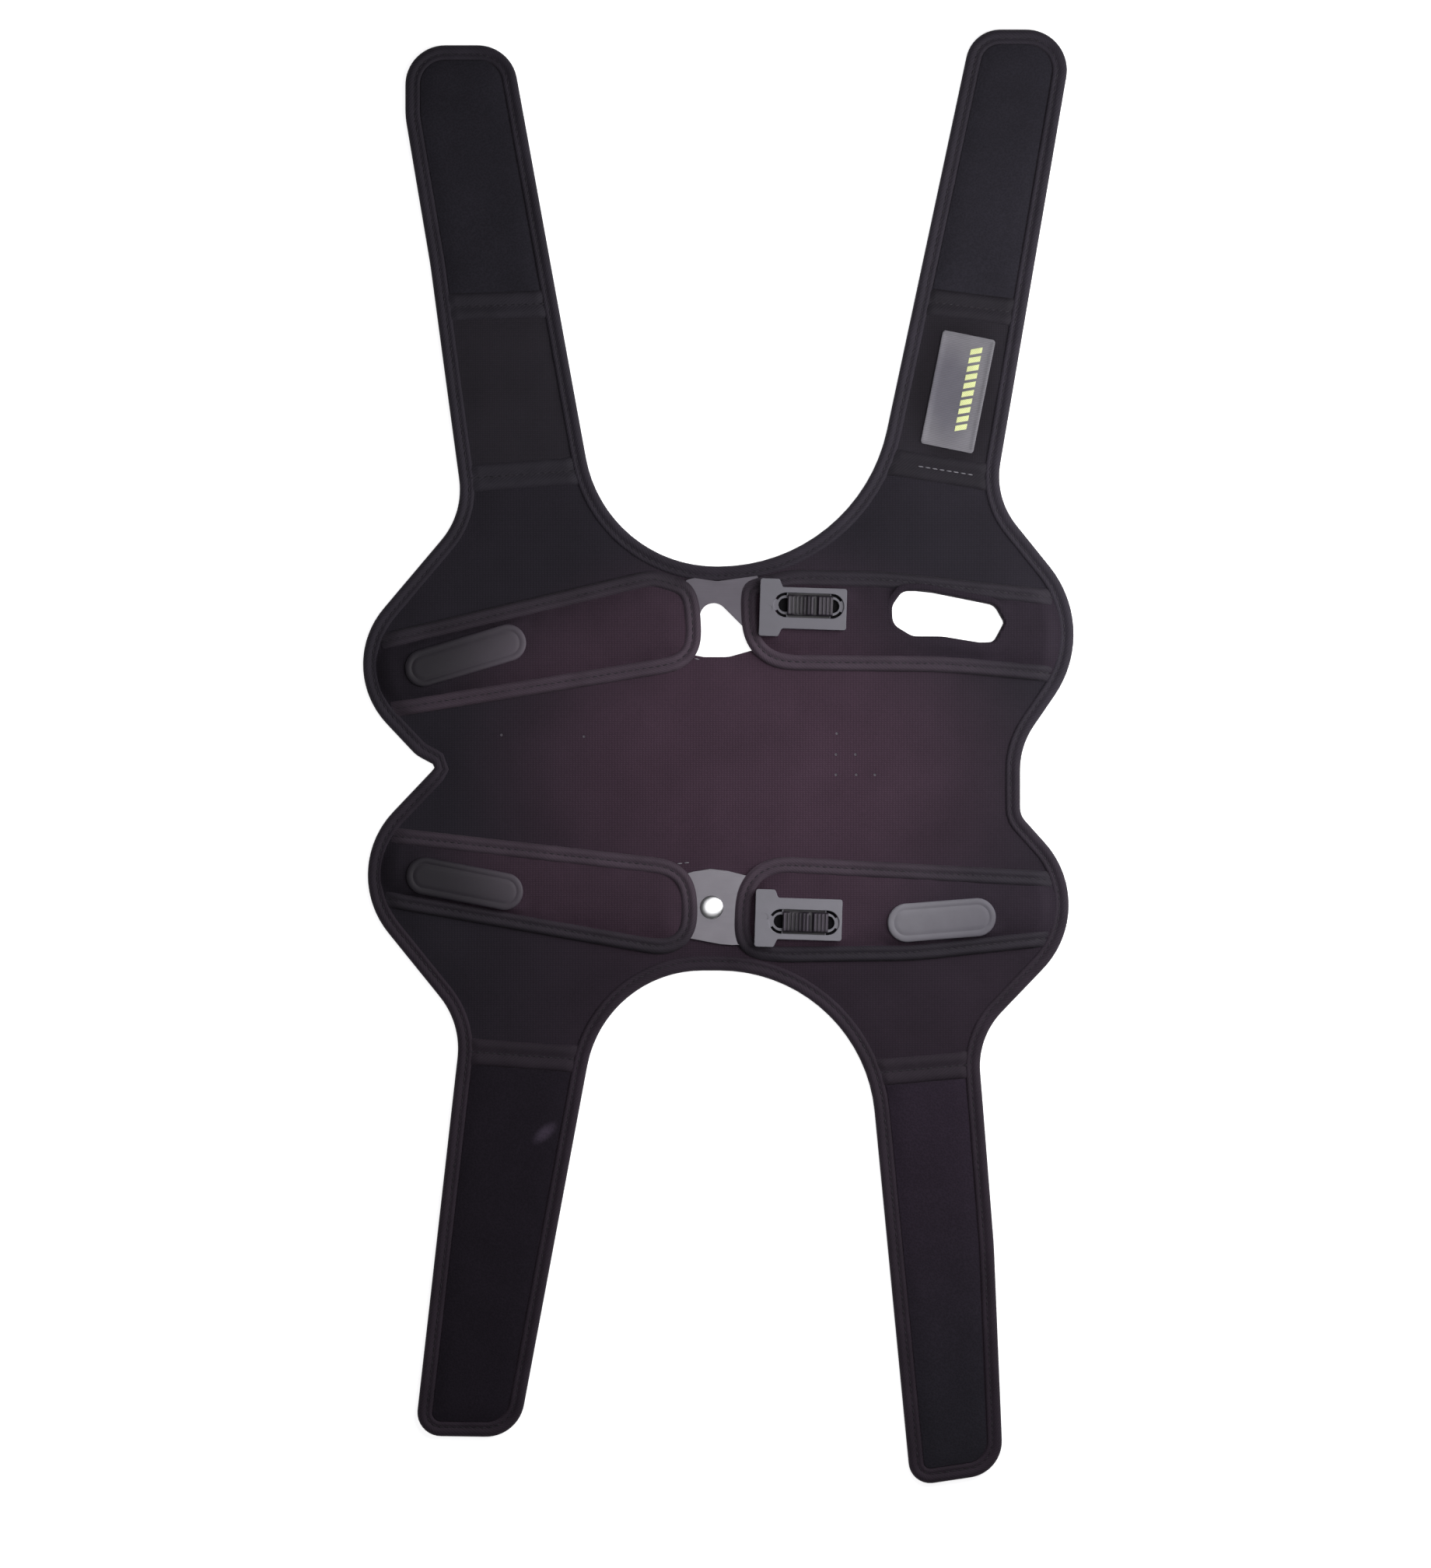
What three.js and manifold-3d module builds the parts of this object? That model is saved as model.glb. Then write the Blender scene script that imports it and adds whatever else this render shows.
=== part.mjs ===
// Spring knee brace, opened out and lying flat with its outer face up.
// Millimetres, +Z up. The straps run along Y, and the leg runs along X.
// The origin is on the underside, midway between the two hinges.
import * as THREE from "three";
import { mergeVertices } from "three/addons/utils/BufferGeometryUtils.js";
import Module from "manifold-3d";

const wasm = await Module();
wasm.setup();

// Driving dimensions
const GAP = 0.3; // between neighbouring pieces
const SHEET_THICK = 3; // padded cloth of the panel and straps
const TAPE_WIDE = 6.5; // edge tape as seen from above
const TAPE_THICK = 0.7;
const TAPE_TOP = 3.7; // the folded tape stands a little proud of the sheet
const TAPE_UNDER = 0.3; // and its lower fold just clears the ground
const SEAM_WIDE = 12.5; // band sewn across a strap
const SEAM_HIGH = 0.9;
const GRIP_THICK = 0.6; // loop cloth on the strap ends
const POCKET_TAPE_WIDE = 7;
const POCKET_TAPE_TOP = 5.6;
const POCKET_TOP = 7.3;
const POCKET_WALL = 1.9;
const FLANGE_INSET = 1; // a pocket's flange stops inside the tape that folds over it
const HINGE_THICK = 1.2;
const ARM_WIDE = 20;
const ARM_LONG = 75; // from the pivot to the end of an arm
const NOTCH_ROUND = 6.4; // radius of the round top of the open hinge's notch
const NOTCH_SET = { x: 1.4, y: -1.9 }; // the middle of that round, from the pivot
const RIVET_RADIUS = 5.4;
const RIVET_SET = { x: 0.5, y: -1.2 }; // the middle of the rivet, from the pivot
const RIVET_SHANK = 3;
const RIVET_HIGH = 1.3;
const PAD_THICK = 1.4;
const LABEL_WIDE = 24.8;
const LABEL_LONG = 53.5;
const LABEL_THICK = 0.9;
const PLATE_THICK = 3; // adjuster plate
const RECESS_LONG = 32.4; // trough that the slider's cap runs in
const RECESS_WIDE = 11.3;
const RECESS_DEEP = 0.9;
const TROUGH_FLOOR = 1;
const SLOT_LONG = 28;
const SLOT_WIDE = 6.2;
const SLIDER_LONG = 21;
const SLIDER_WIDE = 9.6;
const SLIDER_RIBS = 12;
const SLIDER_GAP = 7; // the rib that a groove takes the place of, counted from 0 at the crossbar's end
const CAP_THICK = 1.4; // of the slider, under its ribs
const SLIDER_REST = 0.65; // the slider lies a little past the middle of its trough
const TROUGH_SHIFT = 1.35; // the trough lies off the middle of its plate, away from the panel's middle
const ADJUSTER_TURN = -1.8; // degrees

// Heights that follow from those sizes
const ON_SHEET = SHEET_THICK + GAP;
const HINGE_TOP = ON_SHEET + HINGE_THICK;
const ON_POCKET = POCKET_TOP + GAP;
const TAPE_INNER = TAPE_WIDE + GAP; // where the full thickness of the sheet starts
const ARC_STEP = 18; // degrees of arc for each straight facet
const COARSE_STEP = 22.5; // on pieces sewn or fixed to the sheet
const SMALL_STEP = 30; // on corners of about a millimetre
const CURVE_SEGMENTS = 6; // facets of each half circle

// Outline of the whole brace, anticlockwise: corner places and the radius that rounds each one
const OUTLINE = [
  { at: "upper left tip, outer", x: -143.6, y: 330.1, r: 18.4 },
  { at: "upper left strap, outer side by the tip", x: -143.6, y: 297, r: 36 },
  { at: "upper left strap, outer side", x: -132.1, y: 228.6, r: 110 },
  { at: "upper left strap root", x: -116.6, y: 113.4, r: 36 },
  { at: "upper left lobe", x: -176.8, y: 42.1, r: 40 },
  { at: "left notch, upper lip", x: -138.6, y: 1.4, r: 14 },
  { at: "left notch", x: -129.2, y: -3.6, r: 1.5 },
  { at: "lower left lobe", x: -175, y: -51.8, r: 42.5 },
  { at: "lower left strap root", x: -117.7, y: -122.8, r: 38 },
  { at: "lower left tip, outer", x: -139.3, y: -313.6, r: 11 },
  { at: "lower left tip, inner", x: -91.4, y: -314.3, r: 18 },
  { at: "lower arch, left", x: -51.1, y: -98.3, r: 54 },
  { at: "lower arch, right", x: 67.3, y: -98.3, r: 72 },
  { at: "lower right tip, inner", x: 90.4, y: -337, r: 10 },
  { at: "lower right tip, outer", x: 133.2, y: -330.5, r: 17 },
  { at: "lower right strap, outer side", x: 128.9, y: -225, r: 150 },
  { at: "lower right strap root", x: 121.3, y: -129.2, r: 36 },
  { at: "lower right lobe", x: 179.3, y: -68.8, r: 43 },
  { at: "right waist, lower", x: 141.1, y: -26.3, r: 9 },
  { at: "right waist, upper", x: 141.1, y: 5.8, r: 36 },
  { at: "upper right lobe", x: 178.2, y: 59.8, r: 50 },
  { at: "upper right strap root", x: 129.2, y: 120.6, r: 36 },
  { at: "upper right tip, outer", x: 166.2, y: 337.3, r: 18.7 },
  { at: "upper right tip, inner", x: 118.8, y: 337.3, r: 16 },
  { at: "upper arch, right", x: 65.9, y: 88.9, r: 79.5 },
  { at: "upper arch, left", x: -50.8, y: 88.9, r: 61 },
  { at: "upper left tip, inner", x: -94.7, y: 330.1, r: 18.4 },
];

// Seams across the straps: the middle of each, its slant in degrees, and which way the strap runs
const SEAMS = [
  { name: "upper_left_root", x: -88.9, y: 131.4, slant: 4, way: 1 },
  { name: "upper_left_mid", x: -101.5, y: 209.5, slant: 2, way: 1 },
  { name: "upper_right_root", x: 103.7, y: 133.6, slant: -9, way: 1 },
  { name: "upper_right_mid", x: 117.2, y: 209, slant: -7, way: 1 },
  { name: "lower_left_root", x: -88.7, y: -137.5, slant: -4, way: -1 },
  { name: "lower_right_root", x: 96.3, y: -143.6, slant: 5, way: -1 },
];

// Sheet pieces beyond the panel: the seam where each starts, and the seam where it ends, if any
const STRAPS = [
  { name: "strap_upper_left", from: "upper_left_root", to: "upper_left_mid" },
  { name: "strap_upper_right", from: "upper_right_root", to: "upper_right_mid" },
  { name: "strap_lower_left", from: "lower_left_root" },
  { name: "strap_lower_right", from: "lower_right_root" },
  { name: "strap_tip_upper_left", from: "upper_left_mid" },
  { name: "strap_tip_upper_right", from: "upper_right_mid" },
];

// Loop panels on the strap ends and the seam that each starts from
const GRIPS = [
  { name: "grip_upper_left", from: "upper_left_mid" },
  { name: "grip_upper_right", from: "upper_right_mid" },
  { name: "grip_lower_left", from: "lower_left_root" },
  { name: "grip_lower_right", from: "lower_right_root" },
];

// Pockets that hold the hinge arms: the outside of their tape, anticlockwise
const POCKETS = {
  upper_left: [
    { at: "hinge end, top", x: -8.6, y: 92.2, r: 18 },
    { at: "lobe end, top", x: -154.8, y: 57.6, r: 14 },
    { at: "lobe end, bottom", x: -154.8, y: 18, r: 14 },
    { at: "hinge end, bottom", x: -5.4, y: 42.1, r: 16.5 },
  ],
  upper_right: [
    { at: "hinge end, bottom", x: 12.6, y: 41, r: 22 },
    { at: "bottom edge", x: 105.8, y: 40, r: 120 },
    { at: "lobe end, bottom", x: 162, y: 34.9, r: 14 },
    { at: "lobe end, top", x: 162, y: 77.4, r: 14 },
    { at: "top edge", x: 79.2, y: 86.4, r: 120 },
    { at: "hinge end, top", x: 11.2, y: 87.8, r: 11 },
  ],
  lower_left: [
    { at: "hinge end, bottom", x: -7.6, y: -94.3, r: 16.5 },
    { at: "hinge end, top", x: -9, y: -47.9, r: 18 },
    { at: "lobe end, top", x: -155.5, y: -31.3, r: 14 },
    { at: "lobe end, bottom", x: -157, y: -68, r: 14 },
  ],
  lower_right: [
    { at: "hinge end, bottom", x: 7.9, y: -94.7, r: 14 },
    { at: "bottom edge", x: 92.5, y: -93.6, r: 120 },
    { at: "lobe end, bottom", x: 162, y: -86, r: 14 },
    { at: "lobe end, top", x: 162, y: -52.6, r: 14 },
    { at: "hinge end, top", x: 10.1, y: -44.3, r: 22 },
  ],
};

// Section of a pocket's cover, from under its roof round the flange to its top: the distance of each
// corner inside the tape's inner edge, and its height
const POCKET_SECTION = [
  { at: "roof, inside", past: 5.2, z: POCKET_TOP - POCKET_WALL },
  { at: "shoulder, inside", past: 3.2, z: POCKET_TOP - POCKET_WALL - 0.2 },
  { at: "wall, inside", past: 1.9, z: HINGE_TOP },
  { at: "wall foot, inside", past: 1.1, z: ON_SHEET },
  { at: "flange, bottom edge", past: FLANGE_INSET - POCKET_TAPE_WIDE - GAP, z: ON_SHEET },
  { at: "flange, top edge", past: FLANGE_INSET - POCKET_TAPE_WIDE - GAP, z: HINGE_TOP },
  { at: "wall foot, outside", past: 0, z: HINGE_TOP },
  { at: "wall, outside", past: 0.3, z: POCKET_TAPE_TOP + 0.6 },
  { at: "shoulder, outside", past: 1.7, z: POCKET_TOP - 0.3 },
  { at: "roof, outside", past: 3.2, z: POCKET_TOP },
];

// Hinges: the pivot, the directions of the left and right arms in degrees, and the outer side of the plate
const HINGES = [
  { name: "hinge_plate_upper", x: -2.2, y: 67.3, left: 190, right: -3, outer: 1, open: true },
  { name: "hinge_plate_lower", x: -2.2, y: -67.7, left: 172, right: 0, outer: -1, open: false },
];

// Outline of the lower hinge's plate about its pivot, anticlockwise. The upper one is its mirror image.
const HINGE_OUTLINE = [
  { at: "outer edge, left", x: -12.5, y: -15.2, r: 3 },
  { at: "outer edge, middle", x: 7, y: -18.9, r: 25 },
  { at: "outer edge, right", x: 22, y: -18.4, r: 3 },
  { at: "inner edge, right", x: 22, y: 12.1, r: 3 },
  { at: "inner edge, middle", x: 0, y: 17.8, r: 30 },
  { at: "inner edge, left", x: -12.5, y: 14.1, r: 3 },
];

// Oblong windows of the pockets: three hold a smooth pad, and the upper right one is cut through
const PADS = [
  { name: "pad_upper_left", x: -115.4, y: 47.5, turn: 16.7, long: 57.5, wide: 17.3 },
  { name: "pad_lower_left", x: -115.8, y: -57.9, turn: -11.1, long: 54.5, wide: 17.3 },
  { name: "pad_lower_right", x: 104.5, y: -74.7, turn: 4.5, long: 50.1, wide: 17.8 },
];
const WINDOW = { x: 107.8, y: 64.6, turn: -7, long: 53, wide: 20.9 };

// Opening in the panel below the open hinge plate
const HINGE_WINDOW = [
  { at: "bottom left", x: -11.2, y: 48.3, r: 2 },
  { at: "bottom edge, left", x: -5.5, y: 46.9, r: 6 },
  { at: "bottom edge, right", x: 6, y: 46.9, r: 12 },
  { at: "bottom right", x: 17.3, y: 50.2, r: 2 },
  { at: "top right", x: 17.3, y: 74.5, r: 3 },
  { at: "top left", x: -11.2, y: 74.5, r: 3 },
];

// Adjuster plates: the middle of the stem beside the slider, and the plate's outer side
const ADJUSTERS = [
  { name: "upper", x: 43, y: 69.1, outer: 1 },
  { name: "lower", x: 40.9, y: -74.3, outer: -1 },
];

// T outline of an adjuster plate about the middle of its stem, anticlockwise
const ADJUSTER_OUTLINE = [
  { at: "stem end, bottom", x: 17.5, y: -9.6, r: 1.2 },
  { at: "stem end, top", x: 17.5, y: 9.6, r: 1.2 },
  { at: "stem root, top", x: -12.2, y: 9.6, r: 1 },
  { at: "crossbar, inner top", x: -13.8, y: 13.3, r: 1.2 },
  { at: "crossbar, outer top", x: -22.7, y: 13.3, r: 1.2 },
  { at: "crossbar, outer bottom", x: -22.7, y: -13.3, r: 1.2 },
  { at: "crossbar, inner bottom", x: -13.8, y: -13.3, r: 1.2 },
  { at: "stem root, bottom", x: -12.2, y: -9.6, r: 1 },
];

// Label on the upper right strap
const LABEL = { x: 112.2, y: 169.6, turn: -11.4, r: 1.5 };

const FINISHES = {
  neoprene: { color: 0x3a2f38, roughness: 0.9, metalness: 0 },
  webbing: { color: 0x29272c, roughness: 0.85, metalness: 0 },
  tape: { color: 0x343138, roughness: 0.8, metalness: 0 },
  loopPile: { color: 0x211f24, roughness: 1, metalness: 0 },
  plastic: { color: 0x74727a, roughness: 0.5, metalness: 0 },
  steel: { color: 0x878388, roughness: 0.45, metalness: 0.6 },
  rivet: { color: 0xe4e4e6, roughness: 0.15, metalness: 1 },
  film: { color: 0x5c5960, roughness: 0.55, metalness: 0 },
  label: { color: 0x86848b, roughness: 0.7, metalness: 0 },
};

const brace = new THREE.Group();
brace.name = "spring_knee_brace";

// Names a geometry, gives it its own material and puts it in a group.
function addPiece(name, geometry, finish, parent = brace) {
  const mesh = new THREE.Mesh(geometry, new THREE.MeshStandardMaterial(FINISHES[finish]));
  mesh.name = name;
  parent.add(mesh);
  return mesh;
}

// A closed triangle mesh as a solid that can be joined and cut.
function toSolid(geometry) {
  const bare = geometry.clone();
  bare.deleteAttribute("normal");
  bare.deleteAttribute("uv");
  const merged = mergeVertices(bare);
  const vertProperties = new Float32Array(merged.getAttribute("position").array);
  const triVerts = new Uint32Array(merged.index.array);
  return new wasm.Manifold(new wasm.Mesh({ numProp: 3, vertProperties, triVerts }));
}

// The triangles of a solid as a geometry.
function toGeometry(solid) {
  const mesh = solid.getMesh();
  const geometry = new THREE.BufferGeometry();
  geometry.setAttribute("position", new THREE.BufferAttribute(new Float32Array(mesh.vertProperties), 3));
  geometry.setIndex(new THREE.BufferAttribute(new Uint32Array(mesh.triVerts), 1));
  geometry.computeVertexNormals();
  return geometry;
}

// Points of a closed outline with rounded corners. The rows run anticlockwise, and inset moves
// every side inwards by the same distance, so that outlines of different inset have equal counts.
function roundedLoop(rows, inset = 0, stepDegrees = ARC_STEP) {
  const sharpest = 0.2;
  const corners = rows.map((row) => new THREE.Vector2(row.x, row.y));
  return corners.flatMap((corner, i) => {
    const before = corner.clone().sub(corners.at(i - 1)).normalize();
    const after = corners[(i + 1) % corners.length].clone().sub(corner).normalize();
    const turn = Math.atan2(before.cross(after), before.dot(after));
    const side = Math.sign(turn);
    const inward = new THREE.Vector2(-before.y - after.y, before.x + after.x).normalize();
    const radius = Math.max(rows[i].r - inset * side, sharpest);
    const reach = (inset + side * radius) / Math.cos(turn / 2);
    const centre = corner.clone().addScaledVector(inward, reach);
    const first = before.angle() - (side * Math.PI) / 2;
    const steps = Math.max(1, Math.ceil(Math.abs(turn) / THREE.MathUtils.degToRad(stepDegrees)));
    return Array.from({ length: steps + 1 }, (_, k) => {
      const angle = first + (turn * k) / steps;
      return new THREE.Vector2(Math.cos(angle), Math.sin(angle)).multiplyScalar(radius).add(centre);
    });
  });
}

// A body lofted through outlines at [inset, height] levels. It is capped at its first and last level,
// or, as a ring, runs from the last level back to the first.
function loft(rows, levels, { ring = false, stepDegrees = ARC_STEP } = {}) {
  const loops = levels.map(([inset]) => roundedLoop(rows, inset, stepDegrees));
  const count = loops[0].length;
  const positions = loops.flatMap((loop, i) => loop.flatMap((p) => [p.x, p.y, levels[i][1]]));
  const index = [];
  const walls = ring ? levels.length : levels.length - 1;
  for (let i = 0; i < walls; i += 1) {
    const low = i * count;
    const high = ((i + 1) % levels.length) * count;
    for (let j = 0; j < count; j += 1) {
      const next = (j + 1) % count;
      index.push(low + j, low + next, high + next, low + j, high + next, high + j);
    }
  }
  if (!ring) {
    const last = (levels.length - 1) * count;
    const floor = THREE.ShapeUtils.triangulateShape(loops[0], []);
    const roof = THREE.ShapeUtils.triangulateShape(loops.at(-1), []);
    floor.forEach(([a, b, c]) => index.push(a, c, b));
    roof.forEach(([a, b, c]) => index.push(last + a, last + b, last + c));
  }
  const geometry = new THREE.BufferGeometry();
  geometry.setAttribute("position", new THREE.Float32BufferAttribute(positions, 3));
  geometry.setIndex(index);
  return geometry;
}

// A flat outline raised from one height to another.
function prism(outline, bottom, top) {
  const shape = Array.isArray(outline) ? new THREE.Shape(outline) : outline;
  const options = { depth: top - bottom, bevelEnabled: false, curveSegments: CURVE_SEGMENTS };
  return new THREE.ExtrudeGeometry(shape, options).translate(0, 0, bottom);
}

// A straight strip with round ends.
function oblong(long, wide) {
  const radius = wide / 2;
  const reach = long / 2 - radius;
  const shape = new THREE.Shape();
  shape.absarc(reach, 0, radius, -Math.PI / 2, Math.PI / 2);
  shape.absarc(-reach, 0, radius, Math.PI / 2, 1.5 * Math.PI);
  return shape;
}

// Turns a geometry about Z and moves it to a place in the brace.
function placed(geometry, { x, y, turn = 0 }) {
  return geometry.rotateZ(THREE.MathUtils.degToRad(turn)).translate(x, y, 0);
}

// Room inside the edge tape, for what is sewn on top of the sheet.
function insideTape() {
  return toSolid(prism(roundedLoop(OUTLINE, TAPE_INNER), 0, 2 * ON_POCKET));
}

// Everything on the strap side of a seam, starting a given distance past its middle.
function beyondSeam(seamName, start) {
  const seam = SEAMS.find(({ name }) => name === seamName);
  const reach = 260;
  const wide = 104;
  const high = 40;
  const block = new THREE.BoxGeometry(wide, reach, high);
  block.translate(0, seam.way * (start + reach / 2), 0);
  return toSolid(placed(block, { x: seam.x, y: seam.y, turn: seam.slant }));
}

// A pocket's window right through the cloth under it.
function windowCutter() {
  return toSolid(placed(prism(oblong(WINDOW.long, WINDOW.wide), -GAP, ON_POCKET + GAP), WINDOW));
}

// Panel and straps: one padded sheet whose thin edge fits inside the folded tape, cut at the seams
function addSheet() {
  const tongue = [TAPE_UNDER + TAPE_THICK + GAP, SHEET_THICK - 2 * GAP];
  const edge = TAPE_THICK + GAP;
  const levels = [
    [TAPE_INNER, 0],
    [TAPE_INNER, tongue[0]],
    [edge, tongue[0]],
    [edge, tongue[1]],
    [TAPE_INNER, tongue[1]],
    [TAPE_INNER, SHEET_THICK],
  ];
  const sheet = toSolid(loft(OUTLINE, levels));
  const roots = ["upper_left_root", "upper_right_root", "lower_left_root", "lower_right_root"];
  const withoutStraps = roots.reduce((rest, seam) => rest.subtract(beyondSeam(seam, -GAP / 2)), sheet);
  const hingeWindow = toSolid(prism(roundedLoop(HINGE_WINDOW), -GAP, ON_SHEET));
  const panel = withoutStraps.subtract(windowCutter()).subtract(hingeWindow);
  addPiece("main_panel", toGeometry(panel), "neoprene");
  for (const { name, from, to } of STRAPS) {
    const whole = sheet.intersect(beyondSeam(from, GAP / 2));
    const strap = to ? whole.subtract(beyondSeam(to, -GAP / 2)) : whole;
    addPiece(name, toGeometry(strap), "webbing");
  }
}

// Tape folded over the edge of the panel and straps, all the way round
function addEdgeBinding() {
  const chamfer = 0.9;
  const slot = [TAPE_UNDER + TAPE_THICK, SHEET_THICK - GAP];
  const levels = [
    [0, TAPE_UNDER],
    [0, TAPE_TOP - chamfer],
    [chamfer, TAPE_TOP],
    [TAPE_WIDE, TAPE_TOP],
    [TAPE_WIDE, slot[1]],
    [TAPE_THICK, slot[1]],
    [TAPE_THICK, slot[0]],
    [TAPE_WIDE, slot[0]],
    [TAPE_WIDE, TAPE_UNDER],
  ];
  addPiece("edge_binding", loft(OUTLINE, levels, { ring: true }), "tape");
}

// Bands sewn across the straps, each with two ridges and a groove between them
function addSeamBands() {
  const half = SEAM_WIDE / 2;
  const groove = 0.5;
  const ridge = 1.3;
  const shoulder = 1;
  const profile = new THREE.Shape([
    new THREE.Vector2(-half, 0),
    new THREE.Vector2(half, 0),
    new THREE.Vector2(half, SEAM_HIGH / 2),
    new THREE.Vector2(half - shoulder, SEAM_HIGH),
    new THREE.Vector2(ridge, SEAM_HIGH),
    new THREE.Vector2(groove, SEAM_HIGH / 2),
    new THREE.Vector2(-groove, SEAM_HIGH / 2),
    new THREE.Vector2(-ridge, SEAM_HIGH),
    new THREE.Vector2(shoulder - half, SEAM_HIGH),
    new THREE.Vector2(-half, SEAM_HIGH / 2),
  ]);
  const long = 90;
  const acrossStrap = new THREE.Matrix4().makeBasis(
    new THREE.Vector3(0, 1, 0),
    new THREE.Vector3(0, 0, 1),
    new THREE.Vector3(1, 0, 0),
  );
  const room = insideTape();
  for (const seam of SEAMS) {
    const strip = new THREE.ExtrudeGeometry(profile, { depth: long, bevelEnabled: false });
    strip.translate(0, 0, -long / 2).applyMatrix4(acrossStrap).translate(0, 0, ON_SHEET);
    const band = toSolid(placed(strip, { x: seam.x, y: seam.y, turn: seam.slant })).intersect(room);
    addPiece(`seam_band_${seam.name}`, toGeometry(band), "webbing");
  }
}

// Loop cloth on the strap ends, inside the edge tape
function addGrips() {
  const border = TAPE_INNER + 2 * GAP;
  const cloth = toSolid(prism(roundedLoop(OUTLINE, border), ON_SHEET, ON_SHEET + GRIP_THICK));
  for (const { name, from } of GRIPS) {
    const grip = cloth.intersect(beyondSeam(from, SEAM_WIDE / 2 + GAP));
    addPiece(name, toGeometry(grip), "loopPile");
  }
}

// A hinge plate with its two arms, grown all round by a clearance
function hingeBlank(hinge, grow, bottom, top) {
  const mirrored = HINGE_OUTLINE.map(({ x, y, r }) => ({ x, y: -y, r })).reverse();
  const cheeks = hinge.outer > 0 ? mirrored : HINGE_OUTLINE;
  const arms = [hinge.left, hinge.right].map((turn) => {
    const arm = prism(oblong(ARM_LONG + 2 * grow, ARM_WIDE + 2 * grow), bottom, top);
    return toSolid(placed(arm.translate(ARM_LONG / 2, 0, 0), { x: hinge.x, y: hinge.y, turn }));
  });
  const plate = toSolid(placed(prism(roundedLoop(cheeks, -grow), bottom, top), hinge));
  return plate.add(arms[0]).add(arms[1]);
}

// Keyhole notch of the open hinge plate: a round top that flares out downwards
function hingeNotch() {
  const low = -2 * ARM_WIDE; // well below the plate, so that the notch is open
  const lowLeft = -9;
  const flare = Math.PI / 4; // from upright to the right side, which runs on from the round top
  const lowRight = NOTCH_SET.x + NOTCH_ROUND / Math.cos(flare) + (NOTCH_SET.y - low) * Math.tan(flare);
  const shape = new THREE.Shape();
  shape.moveTo(lowLeft, low);
  shape.lineTo(lowRight, low);
  shape.absarc(NOTCH_SET.x, NOTCH_SET.y, NOTCH_ROUND, flare, Math.PI);
  return shape;
}

// Round hole that the rivet's shank passes through
function rivetHole() {
  return new THREE.Shape().absarc(RIVET_SET.x, RIVET_SET.y, RIVET_SHANK + GAP, 0, 2 * Math.PI);
}

// Hinge plates lie on the panel and reach into the pockets; the lower one turns on a rivet
function addHinges() {
  for (const hinge of HINGES) {
    const blank = hingeBlank(hinge, 0, ON_SHEET, HINGE_TOP).intersect(insideTape());
    const cut = prism(hinge.open ? hingeNotch() : rivetHole(), 0, ON_POCKET);
    addPiece(hinge.name, toGeometry(blank.subtract(toSolid(placed(cut, hinge)))), "steel");
  }
}

// Rivet with a low domed head
function addRivet() {
  const { x, y } = HINGES.find(({ open }) => !open);
  const seat = HINGE_TOP + GAP;
  const rim = 0.4;
  const dome = [0.96, 0.8, 0.5];
  const profile = [
    new THREE.Vector2(0, ON_SHEET),
    new THREE.Vector2(RIVET_SHANK, ON_SHEET),
    new THREE.Vector2(RIVET_SHANK, seat),
    new THREE.Vector2(RIVET_RADIUS, seat),
    new THREE.Vector2(RIVET_RADIUS, seat + rim),
    ...dome.map((share) => {
      const rise = (RIVET_HIGH - rim) * Math.sqrt(1 - share * share);
      return new THREE.Vector2(RIVET_RADIUS * share, seat + rim + rise);
    }),
    new THREE.Vector2(0, seat + RIVET_HIGH),
  ];
  const sides = 16;
  const head = new THREE.LatheGeometry(profile, sides).rotateX(Math.PI / 2);
  head.translate(x + RIVET_SET.x, y + RIVET_SET.y, 0);
  addPiece("hinge_rivet", toGeometry(toSolid(head)), "rivet");
}

// Pocket: a domed cover with a sewn flange, open below to the panel and at its mouth to the hinge arm
function addPockets() {
  const tapeEdge = POCKET_TAPE_WIDE + GAP;
  const coverLevels = POCKET_SECTION.map(({ past, z }) => [tapeEdge + past, z]);
  const tapeUnder = HINGE_TOP + GAP;
  const tapeLevels = [
    [0, ON_SHEET],
    [0, POCKET_TAPE_TOP - TAPE_THICK],
    [TAPE_THICK, POCKET_TAPE_TOP],
    [POCKET_TAPE_WIDE, POCKET_TAPE_TOP],
    [POCKET_TAPE_WIDE, tapeUnder],
    [TAPE_THICK, tapeUnder],
    [TAPE_THICK, ON_SHEET],
  ];
  const room = insideTape();
  const armRooms = HINGES.map((hinge) => hingeBlank(hinge, GAP, 0, tapeUnder));
  const fitted = (geometry) => {
    const trimmed = toSolid(geometry).intersect(room);
    return armRooms.reduce((rest, armRoom) => rest.subtract(armRoom), trimmed);
  };
  for (const [name, rows] of Object.entries(POCKETS)) {
    const cover = fitted(loft(rows, coverLevels, { stepDegrees: COARSE_STEP }));
    const open = name === "upper_right" ? cover.subtract(windowCutter()) : cover;
    addPiece(`pocket_${name}`, toGeometry(open), "neoprene");
    const tape = fitted(loft(rows, tapeLevels, { ring: true, stepDegrees: COARSE_STEP }));
    addPiece(`pocket_tape_${name}`, toGeometry(tape), "tape");
  }
}

// Smooth oblong pads on three of the pockets
function addPads() {
  for (const pad of PADS) {
    const mesh = addPiece(pad.name, prism(oblong(pad.long, pad.wide), 0, PAD_THICK), "film");
    mesh.position.set(pad.x, pad.y, ON_POCKET);
    mesh.rotation.z = THREE.MathUtils.degToRad(pad.turn);
  }
}

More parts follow.
